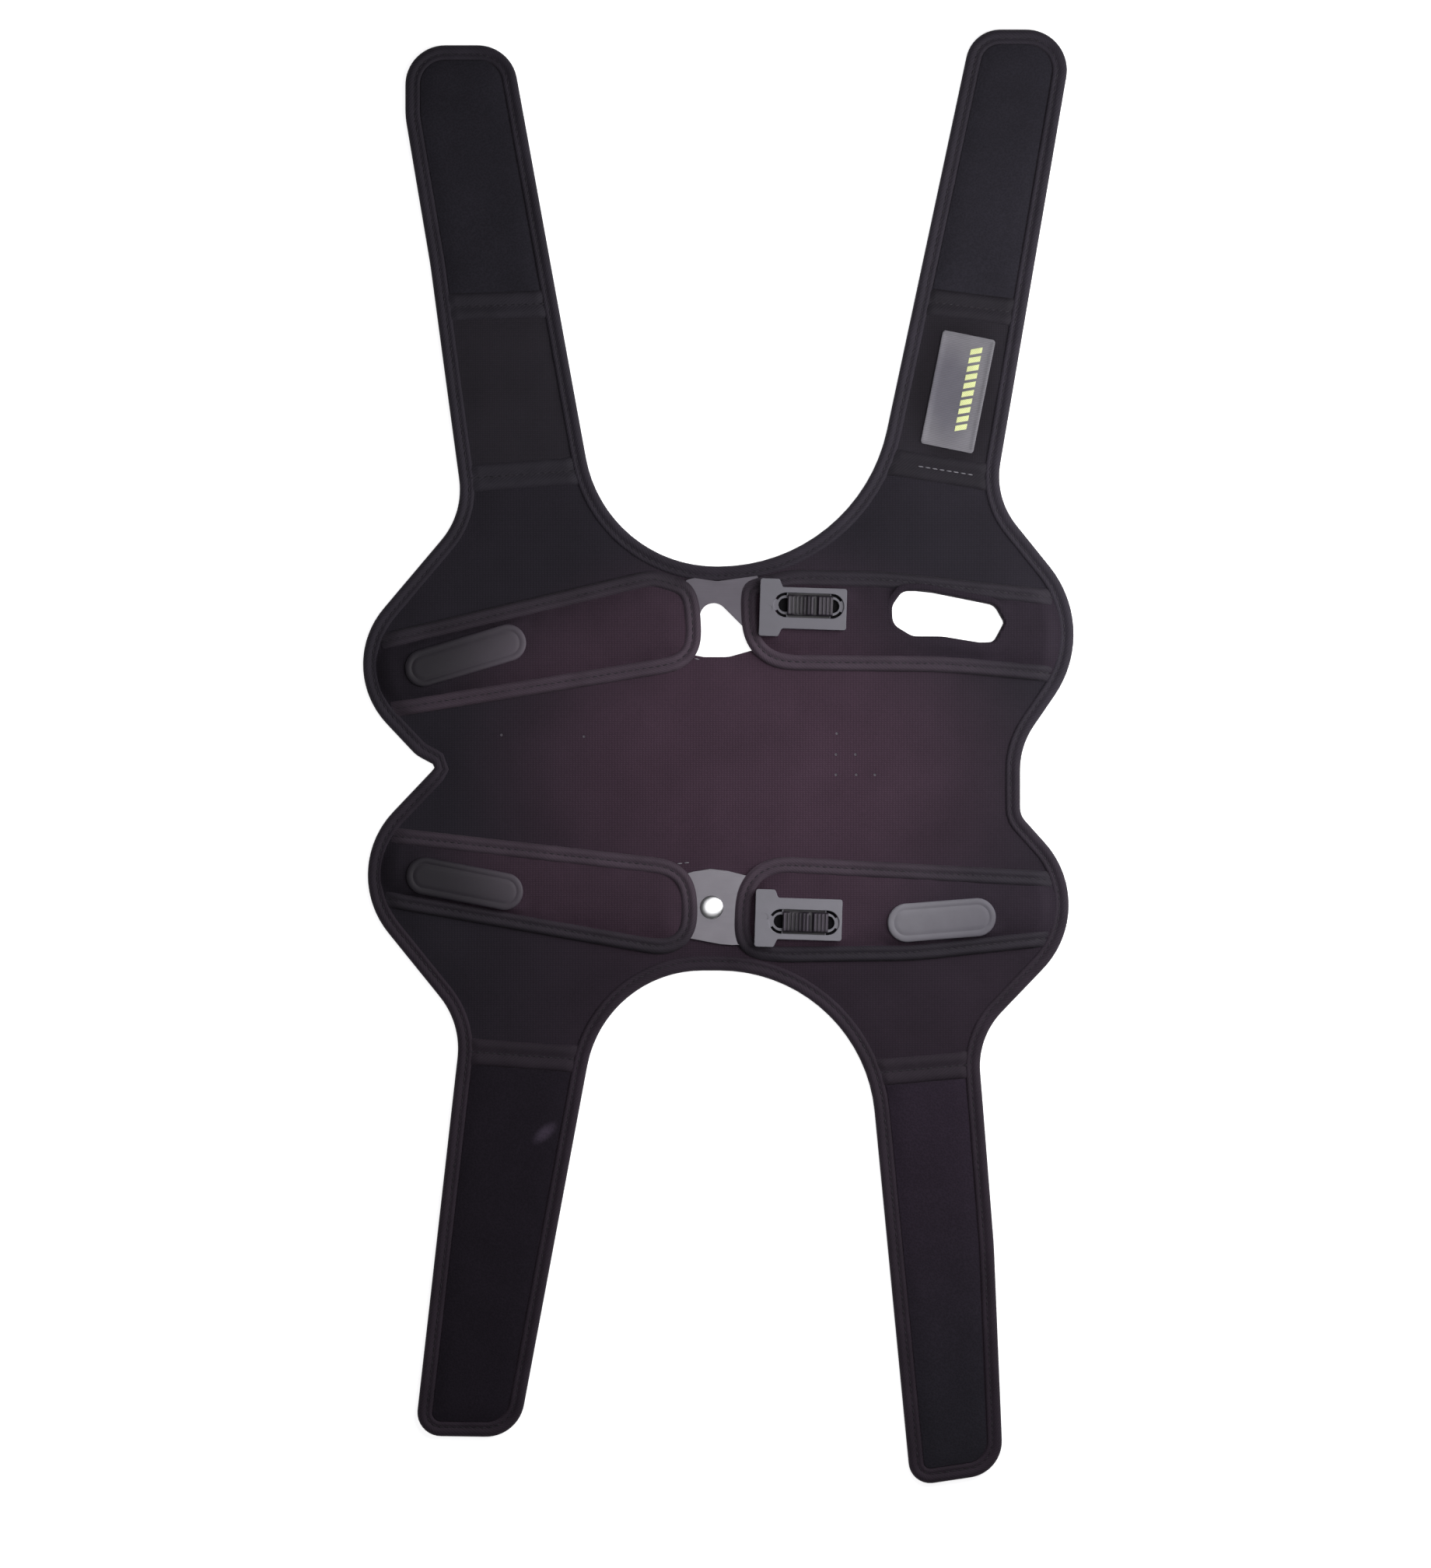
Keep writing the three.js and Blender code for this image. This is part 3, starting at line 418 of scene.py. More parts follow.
def rounded_loop(rows, inset=0.0, step=5):
    """Points of a closed outline with rounded corners, moved inwards by inset."""
    corners = [Vector(row[:2]) for row in rows]
    points = []
    for i, corner in enumerate(corners):
        before = (corner - corners[i - 1]).normalized()
        after = (corners[(i + 1) % len(corners)] - corner).normalized()
        turn = math.atan2(before.cross(after), before.dot(after))
        side = math.copysign(1, turn)
        radius = max(rows[i][2] - inset * side, 0.2)
        inward = Vector((-before.y - after.y, before.x + after.x)).normalized()
        centre = corner + inward * ((inset + side * radius) / math.cos(turn / 2))
        first = math.atan2(before.y, before.x) - side * math.pi / 2
        steps = max(1, math.ceil(abs(math.degrees(turn)) / step))
        for k in range(steps + 1):
            angle = first + turn * k / steps
            points.append(centre + radius * Vector((math.cos(angle), math.sin(angle))))
    return np.array(points)


def even_points(points, spacing, closed=True):
    """The same line through evenly spaced points."""
    line = np.vstack([points, points[:1]]) if closed else np.asarray(points)
    run = np.concatenate([[0], np.cumsum(np.hypot(*np.diff(line, axis=0).T))])
    count = max(2, round(run[-1] / spacing))
    marks = np.linspace(0, run[-1], count + 1)
    even = np.column_stack([np.interp(marks, run, line[:, k]) for k in range(line.shape[1])])
    return even[:-1] if closed else even


def inward_of(path, closed=True):
    """Unit vectors to the left of a path, which is inwards on an anticlockwise one."""
    ahead = np.roll(path, -1, axis=0) - np.roll(path, 1, axis=0)
    if not closed:
        ahead[0] = path[1] - path[0]
        ahead[-1] = path[-1] - path[-2]
    ahead = ahead / np.hypot(*ahead.T)[:, None]
    return np.column_stack([-ahead[:, 1], ahead[:, 0]])


EDGE_STEP = 2.0
edge_line = even_points(rounded_loop(OUTLINE), EDGE_STEP)
print("edge runs", round(len(edge_line) * EDGE_STEP * MM, 2), "m")

# %% [markdown]
# Cloth never lies quite flat. Two small measures shape every soft piece below: how far a place is from the
# brace's edge, and how far the cloth lifts off the table there. The lift is a slow noise on the straps and
# in the open middle, and it is nothing near the hinges, where the steel holds the cloth down.

# %% Gap and lift
def tree_of(points):
    """A search tree that finds the nearest of many points."""
    tree = KDTree(len(points))
    for i, point in enumerate(points):
        tree.insert((point[0], point[1], 0), i)
    tree.balance()
    return tree


def smooth(value):
    """0 below 0, 1 above 1, and an even ease between."""
    value = min(max(value, 0.0), 1.0)
    return value * value * (3 - 2 * value)


FINE_STEP = 0.5
outer_line = even_points(rounded_loop(OUTLINE), FINE_STEP)
EDGE_TREE = tree_of(outer_line)
STRAP_LIFT, MIDDLE_LIFT = 1.8, 0.9  # the most that the straps and the open middle stand off the table
STRAP_FROM, STRAP_EASE = 112, 60  # the straps' lift starts so far from the middle line, and grows over this
OPEN_Y, OPEN_WIDE, OPEN_LONG = -6, 30, 125  # the open middle: its y, and how far it reaches along Y and X


def ripple(x, y, waves, layer):
    """Even noise with so many waves a mm; each use has a layer of its own."""
    return noise.noise((x * waves, y * waves, layer))


def edge_gap(x, y):
    """Distance in mm from a place on the brace to its edge."""
    return EDGE_TREE.find((x, y, 0))[2]


def lift(x, y):
    """How far the cloth stands off the table, in mm."""
    wave = 0.5 + 0.5 * ripple(x, y, 0.016, 3.7)
    strap = smooth((abs(y) - STRAP_FROM) / STRAP_EASE)
    middle = smooth(1 - abs(y - OPEN_Y) / OPEN_WIDE) * smooth(1 - abs(x) / OPEN_LONG)
    return (STRAP_LIFT * strap + MIDDLE_LIFT * middle) * wave


print("lift at an upper strap:", round(lift(-115, 280), 2), "mm")

# %% [markdown]
# ## Panel and straps
# The padded sheet is cut in one outline and then parted at the seams. A ring of edges is traced, filled and
# bisected into 4 mm cells, so that it can bend. Each part is a copy with the rest bisected away. Extruding
# gives the thickness, and the top then swells a little away from the tape, as foam does.

# %% Cutting cloth
def take(piece):
    """Makes a piece the only selected one."""
    bpy.ops.object.select_all(action="DESELECT")
    piece.select_set(True)
    bpy.context.view_layer.objects.active = piece


def new_piece(name, add, **settings):
    """Adds a primitive as the only selected piece."""
    bpy.ops.object.select_all(action="DESELECT")
    add(**settings)
    bpy.context.object.name = name
    return bpy.context.object


def edit_all():
    """Enters edit mode with everything selected."""
    bpy.ops.object.mode_set(mode="EDIT")
    bpy.ops.mesh.select_all(action="SELECT")


def trace(name, points, high=0.0):
    """A ring of edges through points in mm: a circle whose vertices move to their places."""
    ring = new_piece(name, bpy.ops.mesh.primitive_circle_add, vertices=len(points), radius=1)
    for vertex, (x, y) in zip(ring.data.vertices, points):
        vertex.co = (x * MM, y * MM, high * MM)
    return ring


def bisect_all(place, normal, **clear):
    """Cuts the mesh in edit mode along a plane given in mm."""
    bpy.ops.mesh.select_all(action="SELECT")
    bpy.ops.mesh.bisect(plane_co=[v * MM for v in place], plane_no=normal, **clear)


def bisect_grid(low, high, cell):
    """In edit mode, cuts the mesh into square cells between two corners in mm."""
    for axis, normal in ((0, (1, 0, 0)), (1, (0, 1, 0))):
        for k in range(math.ceil(low[axis] / cell), math.floor(high[axis] / cell) + 1):
            bisect_all([k * cell * n for n in normal], normal)


def cut_cloth(name, points, cell):
    """A flat face in an outline, cut into square cells."""
    cloth = trace(name, points)
    edit_all()
    bpy.ops.mesh.edge_face_add()
    bisect_grid(np.min(points, axis=0), np.max(points, axis=0), cell)
    bpy.ops.object.mode_set(mode="OBJECT")
    return cloth


def copy_of(piece, name):
    """A copy with its own mesh."""
    take(piece)
    bpy.ops.object.duplicate()
    bpy.context.object.name = name
    return bpy.context.object


CLOTH_INSET, CLOTH_CELL = 1.0, 4.0
whole_sheet = cut_cloth("whole_sheet", rounded_loop(OUTLINE, CLOTH_INSET), CLOTH_CELL)
print("cells:", len(whole_sheet.data.polygons))

# %% Parting at the seams
SEAMS = {  # middle x, middle y, slant in degrees, the way the strap runs
    "upper_left_root": (-88.9, 131.4, 4, 1),
    "upper_left_mid": (-101.5, 209.5, 2, 1),
    "upper_right_root": (103.7, 133.6, -9, 1),
    "upper_right_mid": (117.2, 209.0, -7, 1),
    "lower_left_root": (-88.7, -137.5, -4, -1),
    "lower_right_root": (96.3, -143.6, 5, -1),
}
STRAPS = {  # first seam, last seam
    "strap_upper_left": ("upper_left_root", "upper_left_mid"),
    "strap_upper_right": ("upper_right_root", "upper_right_mid"),
    "strap_lower_left": ("lower_left_root", None),
    "strap_lower_right": ("lower_right_root", None),
    "strap_tip_upper_left": ("upper_left_mid", None),
    "strap_tip_upper_right": ("upper_right_mid", None),
}
MIDDLE = 8.0  # between the left and the right straps


def part_at(seam, keep_strap, past=0.0):
    """In edit mode, bisects at a seam and clears the side that isn't kept."""
    x, y, slant, way = SEAMS[seam]
    normal = Vector((-math.sin(math.radians(slant)), math.cos(math.radians(slant)), 0)) * way
    place = Vector((x, y, 0)) + normal * past
    bisect_all(place, normal, clear_inner=keep_strap, clear_outer=not keep_strap)


def strap_from(cloth, name, first, last, past=0.0):
    """The part of a cloth from one seam to another, or to the strap's end."""
    strap = copy_of(cloth, name)
    bpy.ops.object.mode_set(mode="EDIT")
    left = "left" in first
    bisect_all((MIDDLE, 0, 0), (1, 0, 0), clear_outer=left, clear_inner=not left)
    part_at(first, True, past)
    if last:
        part_at(last, False, -past)
    bpy.ops.object.mode_set(mode="OBJECT")
    return strap


panel = copy_of(whole_sheet, "panel_cloth")
bpy.ops.object.mode_set(mode="EDIT")
for seam in SEAMS:
    if seam.endswith("root"):
        part_at(seam, False)
bpy.ops.object.mode_set(mode="OBJECT")
straps = {name: strap_from(whole_sheet, name + "_cloth", *ends) for name, ends in STRAPS.items()}
bpy.data.objects.remove(whole_sheet)
print("panel cells:", len(panel.data.polygons), "straps:", len(straps))

# %% Thickness
EDGE_TOP, EDGE_BOTTOM = 2.7, 0.9  # the heights of both faces at the tape
SWELL, SWELL_FROM, SWELL_OVER = 0.5, 5.5, 9  # how far the top moves out, from what inset, over what length
SAG, SAG_FROM, SAG_OVER = 0.85, 3, 5  # the same for the underside


def flat_area(piece):
    return sum(face.area for face in piece.data.polygons)


def extrude_up(high):
    """In edit mode, extrudes the selection by a height in mm."""
    bpy.ops.mesh.extrude_region_move(TRANSFORM_OT_translate={"value": (0, 0, high * MM)})


def end_solid():
    """Turns all faces outwards and leaves edit mode."""
    bpy.ops.mesh.select_all(action="SELECT")
    bpy.ops.mesh.normals_make_consistent(inside=False)
    bpy.ops.object.mode_set(mode="OBJECT")


def shade_up_to(angle):
    """Shades the taken piece smooth, apart from edges sharper than an angle."""
    bpy.ops.object.shade_smooth_by_angle(angle=math.radians(angle))


def thicken(piece, top, bottom):
    """Extrudes flat cloth and moves both faces to heights in mm, given as functions of the place."""
    take(piece)
    edit_all()
    extrude_up(1)
    end_solid()
    for vertex in piece.data.vertices:
        x, y = vertex.co.x / MM, vertex.co.y / MM
        vertex.co.z = (top if vertex.co.z > MM / 2 else bottom)(x, y) * MM
    shade_up_to(50)


def sheet_top(x, y):
    return EDGE_TOP + SWELL * smooth((edge_gap(x, y) - SWELL_FROM) / SWELL_OVER) + lift(x, y)


def sheet_bottom(x, y):
    return EDGE_BOTTOM - SAG * smooth((edge_gap(x, y) - SAG_FROM) / SAG_OVER) + lift(x, y)


for piece in [panel, *straps.values()]:
    thicken(piece, sheet_top, sheet_bottom)

# %% [markdown]
# Two openings go right through the panel: the long window of the upper right pocket and the gap below the
# upper hinge. A Boolean modifier cuts each with a solid of the opening's shape, as a die would. A few vent
# pin holes in the middle go only part of the way, and their floors are painted pale, as light showing
# through.

# %% Openings in the panel
WINDOW = [  # corners and the radius of each
    (91.0, 56.5, 7), (105.0, 56.4, 20), (122.0, 53.6, 10), (128.6, 53.7, 4), (133.5, 62.9, 2),
    (129.0, 70.9, 6), (96.0, 77.5, 20), (86.5, 77.4, 5), (81.6, 70.5, 6), (82.0, 62.0, 6),
]
HINGE_GAP = [
    (-12.5, 48.3, 2), (-5.5, 46.9, 6), (6.0, 46.9, 12), (18.5, 50.4, 2), (18.5, 74.5, 3), (-12.5, 74.5, 3),
]
PIN_HOLES = [
    (56.2, 11.5), (55.8, 1.8), (64.8, 1.8), (55.8, -7.6), (65.2, -7.6), (73.8, -7.6),
    (-99, 10.8), (-60.8, 10.1),
]
PIN_WIDE, PIN_DEEP = 1.3, 0.5
BELOW, ABOVE = -5, 20  # a die that goes right through reaches past both faces
CLEAR = 9  # the top of a die that goes part of the way


def oblong(x, y, turn, long, wide, step=8):
    """Outline of a straight strip with round ends, turned and placed, in mm."""
    radius = wide / 2
    reach = (long - wide) / 2
    ends = [(reach, -90 + k * step) for k in range(180 // step + 1)]
    ends += [(-reach, 90 + k * step) for k in range(180 // step + 1)]
    cosine, sine = math.cos(math.radians(turn)), math.sin(math.radians(turn))
    points = []
    for middle, angle in ends:
        px = middle + radius * math.cos(math.radians(angle))
        py = radius * math.sin(math.radians(angle))
        points.append((x + px * cosine - py * sine, y + px * sine + py * cosine))
    return np.array(points)


def post(name, points, low, high):
    """A solid of a given outline from one height to another, in mm."""
    solid = trace(name, points, low)
    edit_all()
    bpy.ops.mesh.edge_face_add()
    extrude_up(high - low)
    end_solid()
    return solid


def modify(piece, kind, **settings):
    """Gives a piece a modifier with its settings, and applies it."""
    take(piece)
    step = piece.modifiers.new(kind.lower(), kind)
    for name, value in settings.items():
        setattr(step, name, value)
    bpy.ops.object.modifier_apply(modifier=step.name)


def punch(piece, die, **settings):
    """Cuts a die's shape out of a piece, and removes the die."""
    modify(piece, "BOOLEAN", object=die, operation="DIFFERENCE", solver="EXACT", **settings)
    bpy.data.objects.remove(die)


panel.data.materials.append(neoprene)
punch(panel, post("window_die", rounded_loop(WINDOW), BELOW, ABOVE))
punch(panel, post("gap_die", rounded_loop(HINGE_GAP, 0, 15), BELOW, ABOVE))
for x, y in PIN_HOLES:
    pin = post("pin_die", oblong(x, y, 0, PIN_WIDE, PIN_WIDE, step=36), sheet_top(x, y) - PIN_DEEP, CLEAR)
    pin.data.materials.append(pinhole_paint)
    punch(panel, pin, material_mode="TRANSFER")
print("panel faces:", len(panel.data.polygons))

# %% Setting the cloth in the frame
def settle(piece, material, slot, *nodes, body="brace"):
    """Gives a finished piece its material and its body, and hides the CAD nodes that it stands for."""
    if not piece.data.materials:
        piece.data.materials.append(material)
    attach(piece, body)
    if nodes:
        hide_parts(*nodes)
    print(piece.name, sum(len(face.vertices) - 2 for face in piece.data.polygons), "triangles")


bpy.context.view_layer.update()
settle(panel, neoprene, "neoprene", "main_panel")
for name, strap in straps.items():
    settle(strap, strap_cloth, "webbing", name)

# %% [markdown]
# ## Edge tape
# A folded tape covers the whole edge, straps included. By hand it could be a curve with a bevel profile. A
# grid is better here: its columns follow the edge and its rows follow the tape's section, so every face
# knows how far along and across the tape it is, and the UV map keeps those distances for the weave.

# %% Sweeping a section along a path
def sweep(name, path, section, high, closed=True):
    """A band with a section of (inset, height) rows in mm along a path. high(x, y, z) settles each height."""
    columns = len(path) if closed else len(path) - 1
    rows = len(section) - 1
    band = new_piece(
        name, bpy.ops.mesh.primitive_grid_add, x_subdivisions=columns, y_subdivisions=rows, size=1
    )
    inward = inward_of(path, closed)
    along = np.hypot(*(path[1] - path[0]))
    across = np.concatenate([[0], np.cumsum(np.hypot(*np.diff(section, axis=0).T))])
    cell = [(round((v.co.x + 0.5) * columns), round((v.co.y + 0.5) * rows)) for v in band.data.vertices]
    for vertex, (column, row) in zip(band.data.vertices, cell):
        inset, z = section[row]
        x, y = path[column % len(path)] + inward[column % len(path)] * inset
        vertex.co = (x * MM, y * MM, high(x, y, z) * MM)
    uv = band.data.uv_layers.active.data
    for loop in band.data.loops:
        column, row = cell[loop.vertex_index]
        uv[loop.index].uv = (column * along * MM, across[row] * MM)
    edit_all()
    bpy.ops.mesh.remove_doubles(threshold=1e-6)
    end_solid()
    bpy.ops.object.shade_smooth()
    return band


TAPE_SECTION = [  # inset and height, from the inner lip over the edge to the lip underneath
    (6.9, 2.4), (6.8, 3.0), (6.4, 3.4), (5.7, 3.55), (5.0, 3.45), (4.4, 3.15), (3.9, 3.3), (3.2, 3.7),
    (2.3, 3.9), (1.4, 3.8), (0.6, 3.35), (0.15, 2.7), (0.0, 2.0), (0.1, 1.3), (0.5, 0.7), (1.2, 0.35),
    (2.5, 0.2), (4.4, 0.15), (6.3, 0.15), (6.8, 0.35),
]
TAPE_TOP = 2.5  # the section puckers above this height


def tape_high(x, y, z):
    pucker = 0.22 * ripple(x, y, 0.14, 8.1) if z > TAPE_TOP else 0
    return z + pucker + lift(x, y)


edge_tape = sweep("edge_tape", edge_line, TAPE_SECTION, tape_high)
settle(edge_tape, edge_tape_cloth, "tape", "edge_binding")

# %% [markdown]
# ## Seam bars
# Where a strap joins the panel, and where its loop cloth starts, a folded band is sewn across it. It shows
# two soft ridges with a stitched groove between. A grid is bent to that section, and its two ends are cut
# to the tape's inner edge, which isn't square to the strap.

# %% Bars across the straps
BAR_SECTION = [  # place along the strap and height
    (-6.4, 2.7), (-6.0, 3.4), (-5.0, 3.95), (-3.6, 4.2), (-2.2, 4.0), (-0.9, 3.5), (0.0, 3.25),
    (0.9, 3.5), (2.2, 4.0), (3.6, 4.2), (5.0, 3.95), (6.0, 3.4), (6.4, 2.7),
]
BAR_COLUMNS, BAR_FOOT = 40, 2.9
BAR_ENDS, BAR_END_HIGH = 16, 0.35  # over a 16th of its length, a bar falls to this share of its height
tape_inner = rounded_loop(OUTLINE, 6.4)


def span_at(seam, past):
    """The two places where a line along a seam, past mm beyond it, meets the tape."""
    x, y, slant, way = SEAMS[seam]
    across = np.array([math.cos(math.radians(slant)), math.sin(math.radians(slant))])
    ahead = np.array([-across[1], across[0]])
    start = np.array([x, y]) + ahead * past
    side = (tape_inner - start) @ ahead
    reach = (tape_inner - start) @ across
    after, reach_after = np.roll(side, -1), np.roll(reach, -1)
    crossed = np.nonzero(side * after < 0)[0]
    hits = [reach[i] + (reach_after[i] - reach[i]) * side[i] / (side[i] - after[i]) for i in crossed]
    left = max(h for h in hits if h < 0)
    right = min(h for h in hits if h > 0)
    return start + across * left, start + across * right


def seam_bar(seam):
    """A ridged band across a strap."""
    rows = len(BAR_SECTION) - 1
    bar = new_piece(
        "seam_bar_" + seam,
        bpy.ops.mesh.primitive_grid_add,
        x_subdivisions=BAR_COLUMNS,
        y_subdivisions=rows,
        size=1,
    )
    spans = [span_at(seam, past) for past, _ in BAR_SECTION]
    for vertex in bar.data.vertices:
        share, row = vertex.co.x + 0.5, round((vertex.co.y + 0.5) * rows)
        x, y = spans[row][0] * (1 - share) + spans[row][1] * share
        fall = smooth(min(share, 1 - share) * BAR_ENDS)
        z = BAR_FOOT + (BAR_SECTION[row][1] - BAR_FOOT) * (BAR_END_HIGH + (1 - BAR_END_HIGH) * fall)
        z += 0.15 * ripple(x, y, 0.15, 1.3)
        vertex.co = (x * MM, y * MM, (z + lift(x, y)) * MM)
    for loop in bar.data.loops:
        bar.data.uv_layers.active.data[loop.index].uv = bar.data.vertices[loop.vertex_index].co.xy
    bpy.ops.object.shade_smooth()
    return bar


bars = {seam: seam_bar(seam) for seam in SEAMS}
for seam, bar in bars.items():
    settle(bar, band_cloth, "webbing", "seam_band_" + seam)

# %% [markdown]
# ## Loop cloth
# The strap ends carry loop cloth inside the tape. It is cut from the same pattern with a larger inset, and
# parted at the seam where it starts. Its edge is sewn down, so the top rises over the first 3 mm.

# %% Grips
GRIPS = {"upper_left": "upper_left_mid", "upper_right": "upper_right_mid"}
GRIPS |= {"lower_left": "lower_left_root", "lower_right": "lower_right_root"}
GRIP_INSET, GRIP_CELL = 7.2, 3.0
GRIP_PAST = 6.2  # from the seam to where the loop cloth starts, past the bar
PILE_EDGE, PILE_RISE = 0.35, 0.45  # the pile's thickness at its sewn edge, and how much it grows inside
PILE_SUNK = 0.2  # how far its underside lies in the strap
whole_pile = cut_cloth("whole_pile", rounded_loop(OUTLINE, GRIP_INSET), GRIP_CELL)


def pile_top(x, y):
    nap = 0.12 * ripple(x, y, 0.2, 5.0)
    return sheet_top(x, y) + PILE_EDGE + PILE_RISE * smooth((edge_gap(x, y) - GRIP_INSET) / 3) + nap


def pile_bottom(x, y):
    return sheet_top(x, y) - PILE_SUNK


grips = {}
for corner, seam in GRIPS.items():
    grips[corner] = strap_from(whole_pile, "loop_cloth_" + corner, seam, None, GRIP_PAST)
    thicken(grips[corner], pile_top, pile_bottom)
    settle(grips[corner], loop_pile, "loop_pile", "grip_" + corner)
bpy.data.objects.remove(whole_pile)

# %% [markdown]
# ## Pockets
# Four pockets hold the arms of the hinges. Each is a cover sewn down on its long sides, taped, and caught
# under the edge tape at the lobe, with its mouth at the hinge. The cover domes over the arm, so its height
# grows with the distance from the tape, and it tucks down again towards the lobe's edge.

# %% Lines of the pockets
POCKETS = {  # corners of the taped edge, anticlockwise, with the lobe ends run out past the brace
    "upper_left": [(-8.6, 92.2, 18), (-195, 48.1, 5), (-195, 11.5, 5), (-5.4, 42.1, 16.5)],
    "upper_right": [
        (12.6, 41, 22), (105.8, 40, 120), (195, 31.9, 5), (195, 73.8, 5), (79.2, 86.4, 120), (11.2, 87.8, 11),
    ],
    "lower_left": [(-7.6, -94.3, 16.5), (-9, -47.9, 18), (-195, -26.8, 5), (-195, -61.2, 5)],
    "lower_right": [
        (7.9, -94.7, 14), (92.5, -93.6, 120), (195, -82.4, 5), (195, -54.4, 5), (10.1, -44.3, 22),
    ],
}
TAPE_CLEAR = 7.4  # a pocket's tape keeps so far from the brace's edge
LOBE_X = 100  # beyond this, left or right, the pockets run into the lobes
LOBE_STOP = 4  # a pocket's tape ends so far from the lobe's edge
outer_inward = inward_of(outer_line)


def inside_brace(x, y):
    """Whether a place is on the brace's side of its edge."""
    _, i, _ = EDGE_TREE.find((x, y, 0))
    return float(np.dot(np.array([x, y]) - outer_line[i], outer_inward[i])) > 0


def pocket_line(rows):
    """The taped edge of a pocket, from the lobe round the hinge end and back to the lobe."""
    ring = even_points(rounded_loop(rows), 1.0)
    kept = [abs(x) < LOBE_X or (inside_brace(x, y) and edge_gap(x, y) > LOBE_STOP) for x, y in ring]
    start = next(i for i in range(len(ring)) if kept[i] and not kept[i - 1])
    line = np.roll(ring, -start, axis=0)[: sum(kept)]
    for point in line:
        _, i, gap = EDGE_TREE.find((point[0], point[1], 0))
        if abs(point[0]) < LOBE_X and (gap < TAPE_CLEAR or not inside_brace(*point)):
            point[:] = outer_line[i] + outer_inward[i] * TAPE_CLEAR
    for _ in range(40):
        line[1:-1] = (line[:-2] + 2 * line[1:-1] + line[2:]) / 4
    return even_points(line, EDGE_STEP, closed=False)


pocket_lines = {name: pocket_line(rows) for name, rows in POCKETS.items()}
for name, line in pocket_lines.items():
    print(name, "pocket's tape:", len(line) * EDGE_STEP, "mm")

# %% Covers
PADS = {  # x, y, turn, long, wide
    "upper_left": (-115.4, 47.5, 16.7, 57.5, 17.3),
    "lower_left": (-115.8, -57.9, -11.1, 54.5, 17.3),
    "lower_right": (104.5, -74.7, 4.5, 50.1, 17.8),
}
ADJUSTERS = {"upper": (43.0, 69.1, 1), "lower": (40.9, -74.3, -1)}  # x, y, outer side
ADJUSTER_TURN = -1.8
POCKET_CELL = 1.5
COVER_LOW, COVER_EDGE, COVER_DOME = 3.1, 1.3, 2.95  # tucked height, rise at the tape, and the dome's own
PUCKER, SLACK = 0.4, 0.3
COVER_WALL = 1.2
COVER_INSET = 3.5  # from the tape's outer edge to the cover's own, below the tape
RISE_FROM, RISE_OVER = 6.3, 12  # the dome starts so far from the tape's outer edge, and grows over this
LIP_FROM, LIP_OVER = 7.3, 1.8  # the same for the rise beside a hard piece
HARD_EASE = 6  # how far from a hard piece the cover is held up
PUCKER_AT, PUCKER_OVER = 8, 4
TUCK_FROM, TUCK_OVER = 4.5, 9  # where the cover comes out of the edge tape, and over what length
SLOT_LONG, SLOT_WIDE = 15, 8  # half the length and width that shows below an adjuster's slot
LOBE_INSET = 3.0
HARD = [*PADS.values(), (107.8, 64.6, -7, 53, 20.9)]  # the last is the window
HARD += [(x - 2.6, y, ADJUSTER_TURN, 42, 22) for x, y, _ in ADJUSTERS.values()]


def hard_gap(x, y):
    """Distance in mm to the nearest pad, adjuster or window, each taken as an oblong."""
    gaps = []
    for cx, cy, turn, long, wide in HARD:
        cosine, sine = math.cos(math.radians(turn)), math.sin(math.radians(turn))
        along = (x - cx) * cosine + (y - cy) * sine
        across = (y - cy) * cosine - (x - cx) * sine
        gaps.append(math.hypot(max(abs(along) - (long - wide) / 2, 0), across) - wide / 2)
    return min(gaps)


def lobe_way(start, end):
    """The brace's edge, a little inset, from near one place to near another, by the shorter way."""
    ring = even_points(rounded_loop(OUTLINE, LOBE_INSET), EDGE_STEP)
    first, last = (int(np.argmin(np.hypot(*(ring - place).T))) for place in (start, end))
    ahead = [ring[i % len(ring)] for i in range(first, first + (last - first) % len(ring) + 1)]
    back = [ring[i % len(ring)] for i in range(first, first - (first - last) % len(ring) - 1, -1)]
    return np.array(min((ahead, back), key=len))


def tuck(x, y):
    """0 at the edge tape, 1 well inside it."""
    return smooth((edge_gap(x, y) - TUCK_FROM) / TUCK_OVER)


def pocket_cover(name, line):
    """A domed cover of one thickness inside a pocket's tape."""
    edge = np.vstack([line + inward_of(line, closed=False) * COVER_INSET, lobe_way(line[-1], line[0])])
    cover = cut_cloth("pocket_cover_" + name, edge, POCKET_CELL)
    tape_tree = tree_of(even_points(line, FINE_STEP, closed=False))
    for vertex in cover.data.vertices:
        x, y = vertex.co.x / MM, vertex.co.y / MM
        past = tape_tree.find((x, y, 0))[2]
        rise = 1 - (1 - min(max((past - RISE_FROM) / RISE_OVER, 0), 1)) ** 2
        held_up = (1 - smooth(hard_gap(x, y) / HARD_EASE)) * smooth((past - LIP_FROM) / LIP_OVER)
        rise += (1 - rise) * held_up
        pucker = math.exp(-(((past - PUCKER_AT) / PUCKER_OVER) ** 2)) * ripple(x, y, 0.13, 2.2)
        slack = noise.noise((x * 0.035, y * 0.05, 6.6))
        dome = COVER_EDGE + COVER_DOME * rise + PUCKER * pucker + SLACK * slack * (1 - rise)
        vertex.co.z = (COVER_LOW + tuck(x, y) * dome) * MM
    return cover


def under_adjuster(place):
    """Whether a place is below the slot of an adjuster plate."""
    gaps = [(abs(place.x / MM - x), abs(place.y / MM - y)) for x, y, _ in ADJUSTERS.values()]
    return any(along < SLOT_LONG and across < SLOT_WIDE for along, across in gaps)


covers = {name: pocket_cover(name, line) for name, line in pocket_lines.items()}
cover_areas = {name: flat_area(cover) for name, cover in covers.items()}
